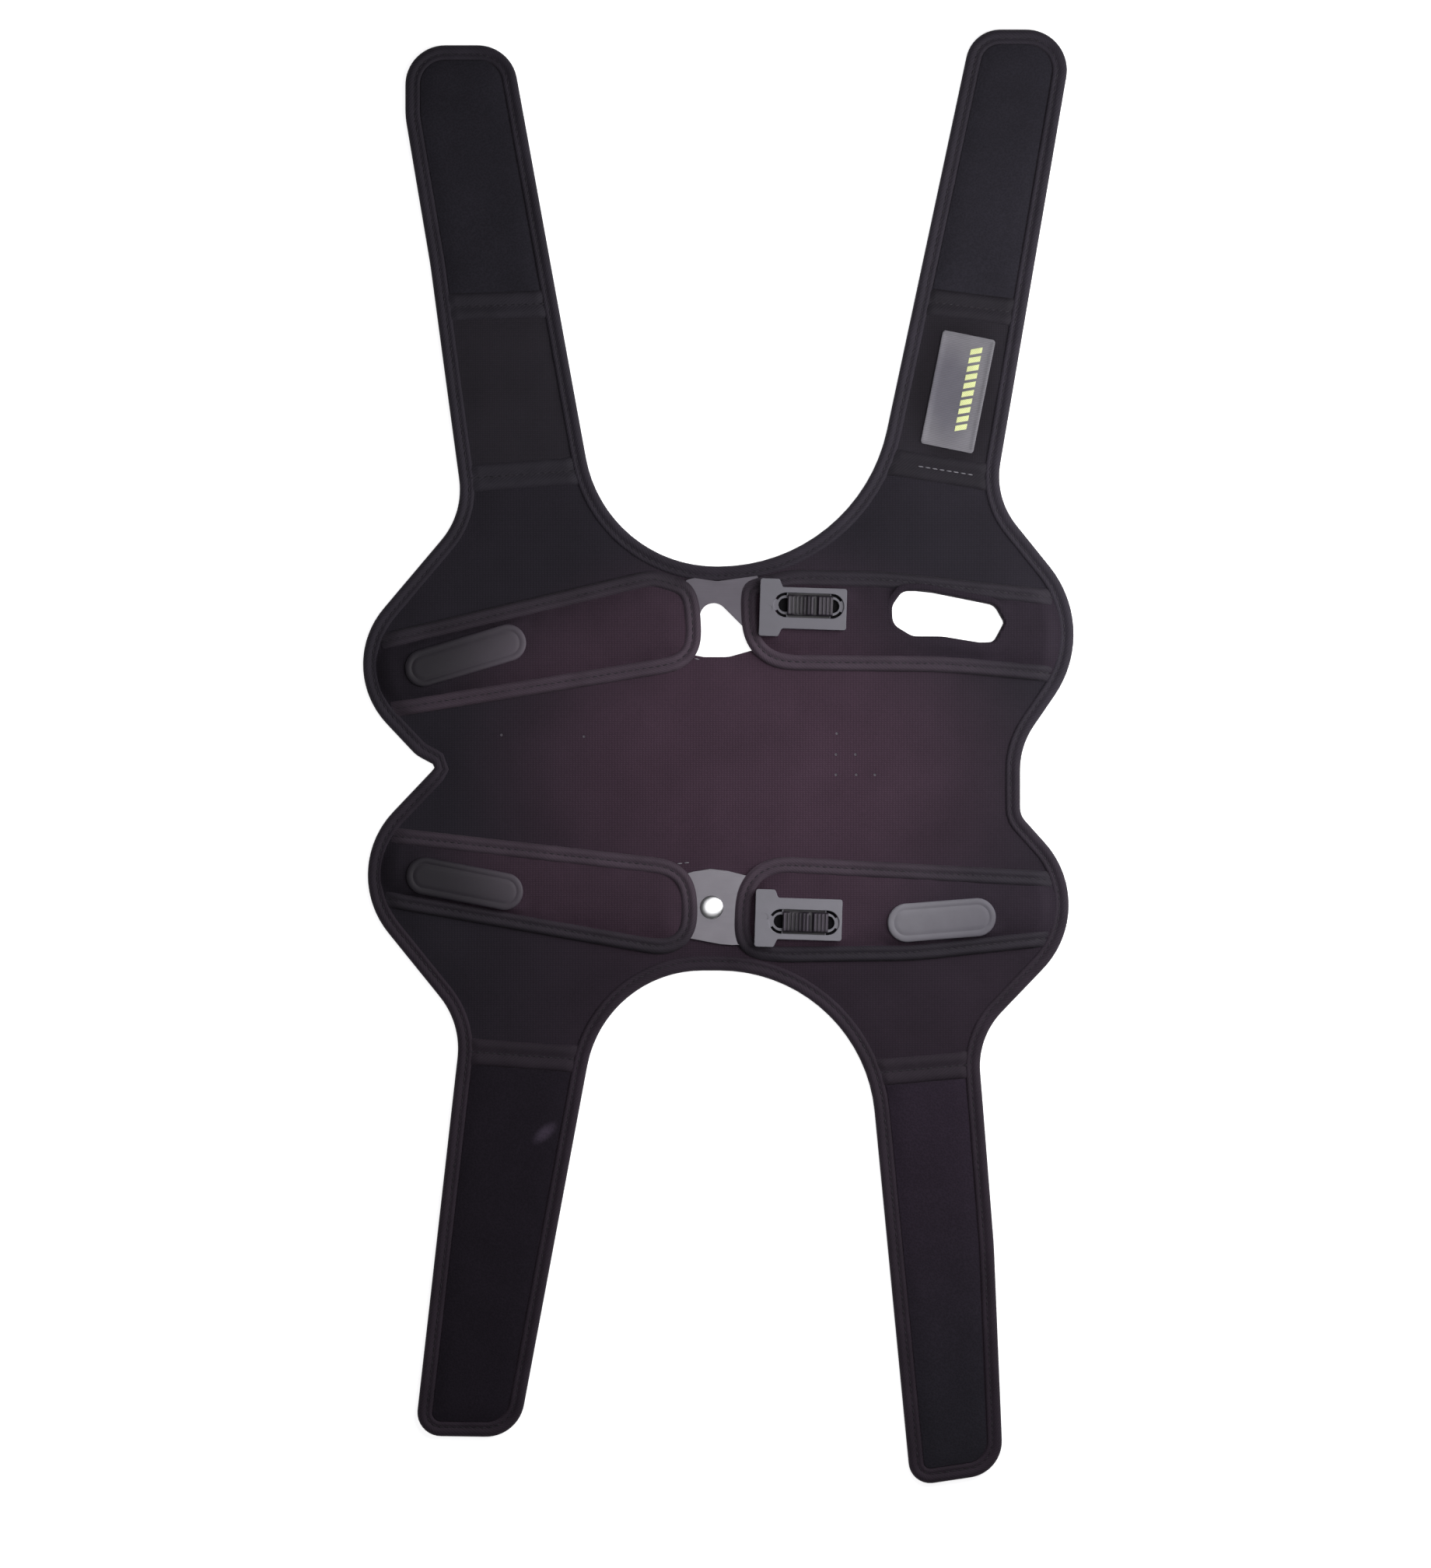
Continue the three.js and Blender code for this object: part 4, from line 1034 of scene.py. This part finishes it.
# Faces below an adjuster's slot take the near-black jersey, as painted shade in the well.
for cover in covers.values():
    cover.data.materials.append(pocket_cloth)
    cover.data.materials.append(slot_shade_cloth)
    for face in cover.data.polygons:
        face.material_index = int(under_adjuster(face.center))
    modify(cover, "SOLIDIFY", thickness=COVER_WALL * MM, offset=-1)
    bpy.ops.object.shade_smooth()
print("covers:", {name: len(cover.data.polygons) for name, cover in covers.items()})

# %% [markdown]
# The upper right pocket has an open window. The cover is cut like the panel, and a turned-in lip of the same
# cloth closes the space between the cover and the table, so that nobody looks into the pocket's hollow. The
# lip is a swept band of its own, like a facing that a tailor sews in.

# %% Window with a turned edge
SLIVER = 0.02  # the cut leaves slivers narrower than this where it grazes a cell's corner
LIP_CUT, LIP_STEP = 0.0105, 1.2  # the facing's width in metres, and its step in mm
LIP_SECTION = [(-3.2, 7.0), (-2.2, 7.35), (-1.2, 7.4), (-0.45, 7.1), (-0.1, 6.4), (0.0, 5.0), (0.0, 0.3)]
window_cut = rounded_loop(WINDOW, -0.6)
punch(covers["upper_right"], post("window_die", window_cut, BELOW, ABOVE))
edit_all()
bpy.ops.mesh.remove_doubles(threshold=SLIVER * MM)
bpy.ops.mesh.select_face_by_sides(number=4, type="GREATER", extend=False)
bpy.ops.mesh.quads_convert_to_tris(ngon_method="BEAUTY")
bpy.ops.mesh.select_all(action="SELECT")
bpy.ops.mesh.dissolve_degenerate(threshold=SLIVER * MM)
bpy.ops.object.mode_set(mode="OBJECT")
cut_x, cut_y = window_cut.T * MM
cover_areas["upper_right"] -= (cut_x @ np.roll(cut_y, -1) - cut_y @ np.roll(cut_x, -1)) / 2
lip = sweep("window_lip", even_points(rounded_loop(WINDOW), LIP_STEP), LIP_SECTION, lambda x, y, z: z)
for name, cover in covers.items():
    settle(cover, pocket_cloth, "neoprene", "pocket_" + name)
settle(lip, pocket_cloth, "neoprene")

# %% Tape round the pockets
POCKET_TAPE_SECTION = [  # inset and height, from the inner lip to the outer edge
    (7.6, 4.0), (7.3, 4.7), (6.7, 5.35), (5.9, 5.75), (5.1, 5.7), (4.4, 5.35), (3.8, 5.0), (3.2, 5.3),
    (2.5, 5.65), (1.7, 5.7), (0.9, 5.35), (0.3, 4.6), (0.0, 3.8), (0.0, 2.9),
]
HINGE_PIVOTS = [(-2.2, 67.3), (-2.2, -67.7)]
PLATE_LEFT, PLATE_RIGHT, PLATE_HALF = -14, 23.5, 19.5  # how far a plate reaches from its pivot
TUCKED, OVER_PLATE = 2.9, 4.65  # the tape's least heights under the edge tape and over a plate
POCKET_TAPE_TOP = 4.6  # the section puckers above this height


def pocket_tape_high(x, y, z):
    """Heights that tuck under the edge tape and stay clear of the hinge plates."""
    pucker = 0.2 * ripple(x, y, 0.14, 4.4) if z > POCKET_TAPE_TOP else 0
    settled = TUCKED + (z - TUCKED) * tuck(x, y) + pucker
    for pivot_x, pivot_y in HINGE_PIVOTS:
        if PLATE_LEFT < x - pivot_x < PLATE_RIGHT and abs(y - pivot_y) < PLATE_HALF:
            return max(settled, OVER_PLATE)
    return settled


for name, line in pocket_lines.items():
    band = sweep("pocket_binding_" + name, line, POCKET_TAPE_SECTION, pocket_tape_high, closed=False)
    settle(band, pocket_tape_cloth, "tape", "pocket_tape_" + name)

# %% [markdown]
# ## Hard pieces
# Smooth oblong pads are bonded on three pockets. By hand one starts as a circle: its right half is pulled
# out to make a straight strip with round ends. It is filled and extruded, and insets of the top face press
# a border line into it. The first insets rise, which rounds the rim that catches the light.

# %% Pads
PAD_LOW, PAD_WALL = 7.2, 1.25
PAD_STEPS = [  # inset and rise of each press of the top
    (0.25, 0.3), (0.45, 0.17), (1.7, 0.03), (0.4, -0.17), (0.3, 0.0), (0.5, 0.15), (1.6, 0.08),
]


def place_piece(piece, x, y, turn, high=0.0):
    """Turns and moves a piece made at the origin, and puts its place into its mesh."""
    take(piece)
    piece.location = (x * MM, y * MM, high * MM)
    piece.rotation_euler.z = math.radians(turn)
    bpy.ops.object.transform_apply(location=True, rotation=True, scale=True)


def press_in(inset, drop):
    """In edit mode, insets the selected face and moves it by drop, in mm."""
    bpy.ops.mesh.inset(thickness=inset * MM, depth=0)
    bpy.ops.transform.translate(value=(0, 0, drop * MM))


def select_where(piece, kind, wanted):
    """In edit mode, selects the vertices (VERT) or faces (FACE) that pass a test."""
    bpy.ops.object.mode_set(mode="EDIT")
    bpy.ops.mesh.select_mode(type=kind)
    bpy.ops.mesh.select_all(action="DESELECT")
    bpy.ops.object.mode_set(mode="OBJECT")
    for part in piece.data.vertices if kind == "VERT" else piece.data.polygons:
        part.select = wanted(part)
    bpy.ops.object.mode_set(mode="EDIT")


def pad_at(name, x, y, turn, long, wide):
    """A pad with a pressed border."""
    round_end = {"vertices": 62, "radius": wide / 2 * MM, "fill_type": "NGON"}
    pad = new_piece("pad_film_" + name, bpy.ops.mesh.primitive_circle_add, **round_end)
    select_where(pad, "VERT", lambda corner: corner.co.x > 0)
    bpy.ops.transform.translate(value=((long - wide) * MM, 0, 0))
    bpy.ops.mesh.select_all(action="SELECT")
    bpy.ops.transform.translate(value=(-(long - wide) / 2 * MM, 0, 0))
    extrude_up(PAD_WALL)
    for inset, rise in PAD_STEPS:
        press_in(inset, rise)
    end_solid()
    shade_up_to(60)
    place_piece(pad, x, y, turn, PAD_LOW)
    return pad


for name, row in PADS.items():
    settle(pad_at(name, *row), shaded_film if "left" in name else lit_film, "film", "pad_" + name)

# %% [markdown]
# Each adjuster is a T-shaped plate with a trough, and a ribbed slider in it. The plate is traced, extruded
# and cut with three dies: the trough, the slot in its floor and the hollow below. A fine bevel then rounds
# all edges, because a moulded edge is never sharp. Narrow grooves follow, round the trough's corners and
# along its sides, and their faces take the dies' dark nylon, as painted shade. The lower plate is a mirrored
# copy of the upper one, because the trough lies a little off the middle, on the outer side of each.

# %% Adjuster plates
ON_POCKET = 7.6
TROUGH_SHIFT = 1.35
PLATE_HIGH, PLATE_EDGE = 3, 0.32  # the plate's height, and the bevel of its edges
T_OUTLINE = [  # corners and the radius of each
    (17.5, -9.6, 1.2), (17.5, 9.6, 1.2), (-12.2, 9.6, 1.0), (-13.8, 13.3, 1.2),
    (-22.7, 13.3, 1.2), (-22.7, -13.3, 1.2), (-13.8, -13.3, 1.2), (-12.2, -9.6, 1.0),
]
TROUGH_DIES = [  # length, width, and from where to where
    (32.4, 11.3, BELOW, 1.1), (32.4, 11.3, 2.1, CLEAR), (28, 6.2, BELOW, CLEAR),
]
ARC_X, ARC_OUTER, ARC_INNER, ARC_LOW = 10.55, 5.65, 4.4, 0.9
SIDE_LONG, SIDE_WIDE, SIDE_LOW, SIDE_OFF = 19.6, 0.9, 1.4, 5.15  # the straight grooves beside the slider
MARK_X, MARK_Y, MARK_WIDE, MARK_LOW = -18.3, -0.6, 3.2, 2.85  # the faint round mark on the crossbar


def even_shading(piece):
    """Shades a hard piece smooth, with large flat faces kept flat."""
    take(piece)
    shade_up_to(40)
    modify(piece, "WEIGHTED_NORMAL", keep_sharp=True)


def soften(piece, width):
    """Rounds the edges of a hard piece, and evens its shading."""
    limit = {"limit_method": "ANGLE", "angle_limit": math.radians(35), "use_clamp_overlap": True}
    modify(piece, "BEVEL", width=width * MM, segments=3, **limit)
    even_shading(piece)


def corner_arc(end, side):
    """Outline of a groove round one corner of the trough; end and side are 1 or -1."""
    angles = [math.radians(30 + k * 8) for k in range(9)]
    rim = [(ARC_OUTER, angle) for angle in angles] + [(ARC_INNER, angle) for angle in reversed(angles)]
    places = [(radius * math.cos(angle), radius * math.sin(angle)) for radius, angle in rim]
    return np.array([(end * (ARC_X + x), TROUGH_SHIFT + side * y) for x, y in places])


def adjuster_plate():
    """The upper plate, about the middle of its stem."""
    plate = post("adjuster_model", rounded_loop(T_OUTLINE, 0, 15), 0, PLATE_HIGH)
    plate.data.materials.append(plate_nylon)
    for long, wide, low, high in TROUGH_DIES:
        punch(plate, post("trough_die", oblong(0, TROUGH_SHIFT, 0, long, wide), low, high))
    soften(plate, PLATE_EDGE)
    grooves = [(corner_arc(end, side), ARC_LOW) for end in (1, -1) for side in (1, -1)]
    for off in (SIDE_OFF, -SIDE_OFF):
        grooves.append((oblong(0, TROUGH_SHIFT + off, 0, SIDE_LONG, SIDE_WIDE), SIDE_LOW))
    # The grooves' dark nylon is painted shade, for the shadows round the trough and along the slider.
    for outline, low in grooves:
        die = post("groove_die", outline, low, CLEAR)
        die.data.materials.append(slider_nylon)
        punch(plate, die, material_mode="TRANSFER")
    punch(plate, post("mark_die", oblong(MARK_X, MARK_Y, 0, MARK_WIDE, MARK_WIDE), MARK_LOW, CLEAR))
    return plate


def mirror_across(piece):
    """Mirrors a piece across its X axis, and turns its faces out again."""
    take(piece)
    edit_all()
    bpy.ops.transform.resize(value=(1, -1, 1), center_override=(0, 0, 0))
    end_solid()


plate_model = adjuster_plate()
for name, (x, y, outer) in ADJUSTERS.items():
    plate = copy_of(plate_model, "adjuster_body_" + name)
    if outer < 0:
        mirror_across(plate)
    even_shading(plate)
    place_piece(plate, x, y, ADJUSTER_TURN, ON_POCKET)
    settle(plate, plate_nylon, "plastic", "adjuster_plate_" + name)
bpy.data.objects.remove(plate_model)

# %% [markdown]
# The slider is a small cap for the thumb. It starts as a cube at the cap's size, which is bisected across
# into strips, and its long top edges are lowered into slopes. Every second strip is extruded up into a rib,
# but one is pushed down into a deep groove, and the middle of the underside is extruded into the neck that
# runs in the slot. The ribs before the groove are then lowered into a shallow dish, where the thumb rests.
# Both sliders are copies of it.

# %% Sliders
SLIDER_LONG, SLIDER_WIDE = 21.0, 9.6
SLIDER_RIBS, SLIDER_GAP = 12, 7
SLIDER_REST = 0.65
CAP_LOW, CAP_HIGH, RIB_HIGH = 2.4, 3.8, 0.6
DISH_X, DISH_HALF, DISH_DEEP = -4.8, 4.9, 0.7
RIB_END, RIM_DROP = 4.05, 0.8
NECK_LONG, NECK_HALF, NECK_DEEP = 14, 2.8, 1.9
GAP_DEEP = 0.7
CAP_EDGE = 0.18
NEAR = 0.1  # less than any step of the cap, to tell its levels apart


def slider_cap():
    """A ribbed cap with its neck, about its middle."""
    middle = (0, 0, (CAP_LOW + CAP_HIGH) / 2 * MM)
    cap = new_piece("slider_model", bpy.ops.mesh.primitive_cube_add, size=1, location=middle)
    cap.scale = (SLIDER_LONG * MM, SLIDER_WIDE * MM, (CAP_HIGH - CAP_LOW) * MM)
    bpy.ops.object.transform_apply(location=True, rotation=True, scale=True)
    pitch = SLIDER_LONG / SLIDER_RIBS
    bpy.ops.object.mode_set(mode="EDIT")
    for rib in range(SLIDER_RIBS):
        left = -SLIDER_LONG / 2 + rib * pitch
        bisect_all((left + 0.25 * pitch, 0, 0), (1, 0, 0))
        bisect_all((left + 0.75 * pitch, 0, 0), (1, 0, 0))
    for side in (-RIB_END, -NECK_HALF, NECK_HALF, RIB_END):
        bisect_all((0, side, 0), (0, 1, 0))
    bpy.ops.object.mode_set(mode="OBJECT")

    def on_rim(corner):
        return abs(corner.co.y) / MM > RIB_END + NEAR and corner.co.z / MM > CAP_HIGH - NEAR

    def strip_of(face):
        """The number of the strip that a face tops, or None."""
        place = (face.center.x / MM + SLIDER_LONG / 2) / pitch
        on_top = face.normal.z > 0.9 and abs(face.center.y) / MM < RIB_END
        return place // 1 if on_top and 0.25 < place % 1 < 0.75 else None

    def is_neck(face):
        x, y, _ = face.center / MM
        return face.normal.z < -0.9 and abs(x) < NECK_LONG / 2 and abs(y) < NECK_HALF - NEAR

    select_where(cap, "VERT", on_rim)
    bpy.ops.transform.translate(value=(0, 0, -RIM_DROP * MM))
    bpy.ops.object.mode_set(mode="OBJECT")
    select_where(cap, "FACE", lambda face: strip_of(face) not in (None, SLIDER_GAP))
    extrude_up(RIB_HIGH)
    select_where(cap, "FACE", lambda face: strip_of(face) == SLIDER_GAP)
    bpy.ops.transform.translate(value=(0, 0, -GAP_DEEP * MM))
    select_where(cap, "FACE", is_neck)
    extrude_up(-NECK_DEEP)
    bpy.ops.object.mode_set(mode="OBJECT")
    for vertex in cap.data.vertices:
        from_dish = (vertex.co.x / MM - DISH_X) / DISH_HALF
        if vertex.co.z / MM > CAP_HIGH - NEAR and abs(from_dish) < 1:
            vertex.co.z -= DISH_DEEP * (1 - from_dish**2) * MM
    soften(cap, CAP_EDGE)
    return cap


cap_model = slider_cap()
turn = math.radians(ADJUSTER_TURN)
for name, (x, y, outer) in ADJUSTERS.items():
    cap = copy_of(cap_model, "slider_cap_" + name)
    across = outer * TROUGH_SHIFT
    cap_x = x + SLIDER_REST * math.cos(turn) - across * math.sin(turn)
    cap_y = y + SLIDER_REST * math.sin(turn) + across * math.cos(turn)
    place_piece(cap, cap_x, cap_y, ADJUSTER_TURN, ON_POCKET)
    settle(cap, slider_nylon, "plastic", "adjuster_slider_" + name, body="slider_" + name)
bpy.data.objects.remove(cap_model)

# %% [markdown]
# The hinge plates are stamped steel, and the CAD already has their exact shape. A copy is merged, its flat
# triangles are dissolved into whole faces, and a fine bevel breaks its edges. The rivet starts as a filled
# circle, the end of its shank. It is extruded up level by level and resized at each, out to the rim of its
# head and in again over the low dome.

# %% Hinge plates
STEEL_EDGE = 0.22
for name, finish in (("upper", worn_steel), ("lower", spring_steel)):
    plate = copy_of(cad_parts["hinge_plate_" + name], "hinge_steel_" + name)
    plate.data.materials.clear()
    edit_all()
    bpy.ops.mesh.remove_doubles(threshold=1e-5)
    bpy.ops.mesh.dissolve_limited(angle_limit=math.radians(2))
    bpy.ops.object.mode_set(mode="OBJECT")
    soften(plate, STEEL_EDGE)
    settle(plate, finish, "steel", "hinge_plate_" + name)

# %% Rivet
RIVET_LEVELS = [  # radius and height above the plate
    (2.9, -1.2), (2.9, 0.15), (5.3, 0.15), (5.4, 0.3), (5.4, 0.65), (5.2, 0.95), (4.8, 1.2), (4.1, 1.4),
    (2.8, 1.55), (1.4, 1.6),
]
RIVET_PLACE = (-1.7, -68.9)
PLATE_TOP = 4.5
radius, level = RIVET_LEVELS[0]
shank = {"vertices": 48, "radius": radius * MM, "fill_type": "NGON", "location": (0, 0, level * MM)}
rivet = new_piece("rivet_head", bpy.ops.mesh.primitive_circle_add, **shank)
bpy.ops.object.transform_apply(location=True, rotation=True, scale=True)
edit_all()
for (radius, level), (next_radius, next_level) in zip(RIVET_LEVELS, RIVET_LEVELS[1:]):
    extrude_up(next_level - level)
    share = next_radius / radius
    bpy.ops.transform.resize(value=(share, share, 1), center_override=(0, 0, 0))
end_solid()
shade_up_to(40)
place_piece(rivet, *RIVET_PLACE, 0, PLATE_TOP)
settle(rivet, nickel, "rivet", "hinge_rivet")

# %% [markdown]
# ## Label
# A woven label is sewn on the upper right strap. A plane is scaled to its size, bevelled at its corners and
# extruded, and insets of the top make the turned-under hem. It is then bisected into cells, so that it can
# lie on the strap as cloth does. Its mark is generic: a row of slanting lime bars, made as one bar and
# repeated with an Array modifier.

# %% Label and its bars
LABEL_WIDE, LABEL_LONG = 24.8, 53.5
LABEL_CORNER, LABEL_WALL, LABEL_CELL = 1.5, 0.7, 3.0
LABEL_SUNK = 0.1  # how far its underside lies in the strap
HEM_STEPS = [(0.2, 0.15), (1.1, 0.05), (0.25, -0.15)]  # inset and rise of each press of the top
BAR_WIDE, BAR_LONG, BAR_SLANT = 5.2, 2.6, 2.0
BAR_COUNT, BAR_STEP = 10, 4.0
BAR_WALL, BAR_TOP = 0.2, (0.5, 0.15)
FIRST_BAR = (4.56, -17.0, 0.72)  # from the label's middle


def plane_of(name, wide, long):
    """A plane of a given size in mm."""
    plane = new_piece(name, bpy.ops.mesh.primitive_plane_add, size=1)
    plane.scale = (wide * MM, long * MM, 1)
    bpy.ops.object.transform_apply(location=False, rotation=False, scale=True)
    return plane


def lay_on_strap(piece):
    """Places a piece made at the origin where the label is, and lets it follow the strap's top."""
    place_piece(piece, **LABEL)
    for vertex in piece.data.vertices:
        vertex.co.z += (sheet_top(vertex.co.x / MM, vertex.co.y / MM) - LABEL_SUNK) * MM


label = plane_of("woven_label", LABEL_WIDE, LABEL_LONG)
bpy.ops.object.mode_set(mode="EDIT")
bpy.ops.mesh.select_mode(type="VERT")
bpy.ops.mesh.select_all(action="SELECT")
bpy.ops.mesh.bevel(offset=LABEL_CORNER * MM, segments=4, affect="VERTICES")
bpy.ops.mesh.select_all(action="SELECT")
extrude_up(LABEL_WALL)
for inset, rise in HEM_STEPS:
    press_in(inset, rise)
bisect_grid((-LABEL_WIDE / 2, -LABEL_LONG / 2), (LABEL_WIDE / 2, LABEL_LONG / 2), LABEL_CELL)
end_solid()
shade_up_to(40)
lay_on_strap(label)
settle(label, label_weave, "label", "strap_label")

mark = plane_of("label_bars", BAR_WIDE, BAR_LONG)
select_where(mark, "VERT", lambda corner: corner.co.x > 0)
bpy.ops.transform.translate(value=(0, BAR_SLANT * MM, 0))
bpy.ops.mesh.select_all(action="SELECT")
extrude_up(BAR_WALL)
press_in(*BAR_TOP)
bpy.ops.mesh.select_all(action="SELECT")
bpy.ops.transform.translate(value=[v * MM for v in FIRST_BAR])
end_solid()
APART = {"use_relative_offset": False, "use_constant_offset": True}  # an array with a step in metres
modify(mark, "ARRAY", count=BAR_COUNT, constant_offset_displace=(0, BAR_STEP * MM, 0), **APART)
even_shading(mark)
lay_on_strap(mark)
settle(mark, lime_yarn, "label")

# %% [markdown]
# ## Stitching
# Lock stitches hold the tapes and bands. One stitch is a small stretched sphere. An Array modifier repeats
# it over the length of a path, and a Curve modifier bends the row along that path, so a whole seam is one
# mesh that took one stitch to model.

# %% Rows of stitches
STITCH_LONG, STITCH_STEP, STITCH_THICK = 2.5, 3.3, 0.55
SEAM_STEP = 3.0
EDGE_SEAM, EDGE_SEAM_HIGH = 4.4, 3.25  # the groove of the edge tape: its inset and its height


def stitch_row(path, closed):
    """Stitches along a path of (x, y, z) rows in mm."""
    data = bpy.data.curves.new("stitch_path", "CURVE")
    data.dimensions = "3D"
    data.twist_mode = "Z_UP"
    spline = data.splines.new("POLY")
    spline.points.add(len(path) - 1)
    for point, (x, y, z) in zip(spline.points, path):
        point.co = (x * MM, y * MM, z * MM, 1)
    spline.use_cyclic_u = closed
    route = bpy.data.objects.new("stitch_path", data)
    bpy.context.scene.collection.objects.link(route)
    ball = {"segments": 6, "ring_count": 4, "radius": 0.5}
    row = new_piece("stitches", bpy.ops.mesh.primitive_uv_sphere_add, **ball)
    row.rotation_euler.y = math.pi / 2
    row.scale = (STITCH_THICK * MM, STITCH_THICK * MM, STITCH_LONG * MM)
    bpy.ops.object.transform_apply(location=False, rotation=True, scale=True)
    bpy.ops.object.shade_smooth()
    step = (STITCH_STEP * MM, 0, 0)
    modify(row, "ARRAY", fit_type="FIT_CURVE", curve=route, constant_offset_displace=step, **APART)
    modify(row, "CURVE", object=route, deform_axis="POS_X")
    bpy.data.objects.remove(route)
    return row


def join_rows(name, rows, cord=thread):
    """Joins rows of stitches into one piece on the brace."""
    take(rows[0])
    for row in rows[1:]:
        row.select_set(True)
    if len(rows) > 1:
        bpy.ops.object.join()
    bpy.context.object.name = name
    settle(bpy.context.object, cord, "tape")


def on_heights(points, high):
    """Adds heights in mm to a flat path."""
    return [(x, y, high(x, y)) for x, y in points]


edge_path = even_points(rounded_loop(OUTLINE, EDGE_SEAM), SEAM_STEP)
edge_path = on_heights(edge_path, lambda x, y: EDGE_SEAM_HIGH + lift(x, y))
join_rows("edge_stitches", [stitch_row(edge_path, True)])

# %% Stitches on pockets and bars
POCKET_SEAM, BAR_SEAM_HIGH = 3.8, 3.35  # the inset of a pocket tape's groove, and the height of a bar's
STITCH_LOW, STITCH_HIGH = 2.95, 5.1  # on a pocket's tape: tucked under the edge tape, and inside it
pocket_rows = []
for line in pocket_lines.values():
    path = line + inward_of(line, closed=False) * POCKET_SEAM
    path = on_heights(path, lambda x, y: STITCH_LOW + (STITCH_HIGH - STITCH_LOW) * tuck(x, y))
    pocket_rows.append(stitch_row(path, False))
join_rows("pocket_stitches", pocket_rows)

# The pale rows are painted highlights: a light line on the upper right root bar and two glints by the hinges.
HIGHLIGHT_SEAM = "upper_right_root"
HIGHLIGHT_SPANS = [
    [(95.0, 135.0), (119.9, 131.0)], [(-16.6, -48.7), (-11.4, -48.1)], [(-11.9, 46.6), (-8.3, 45.9)],
]
dark_spans = [span_at(seam, 0) for seam in SEAMS if seam != HIGHLIGHT_SEAM]
for name, spans, cord in (("bar_stitches", dark_spans, thread), ("highlight_stitches", HIGHLIGHT_SPANS, highlight_thread)):
    rows = []
    for span in spans:
        path = even_points(np.array(span), SEAM_STEP, closed=False)
        rows.append(stitch_row(on_heights(path, lambda x, y: BAR_SEAM_HIGH + lift(x, y)), False))
    join_rows(name, rows, cord)
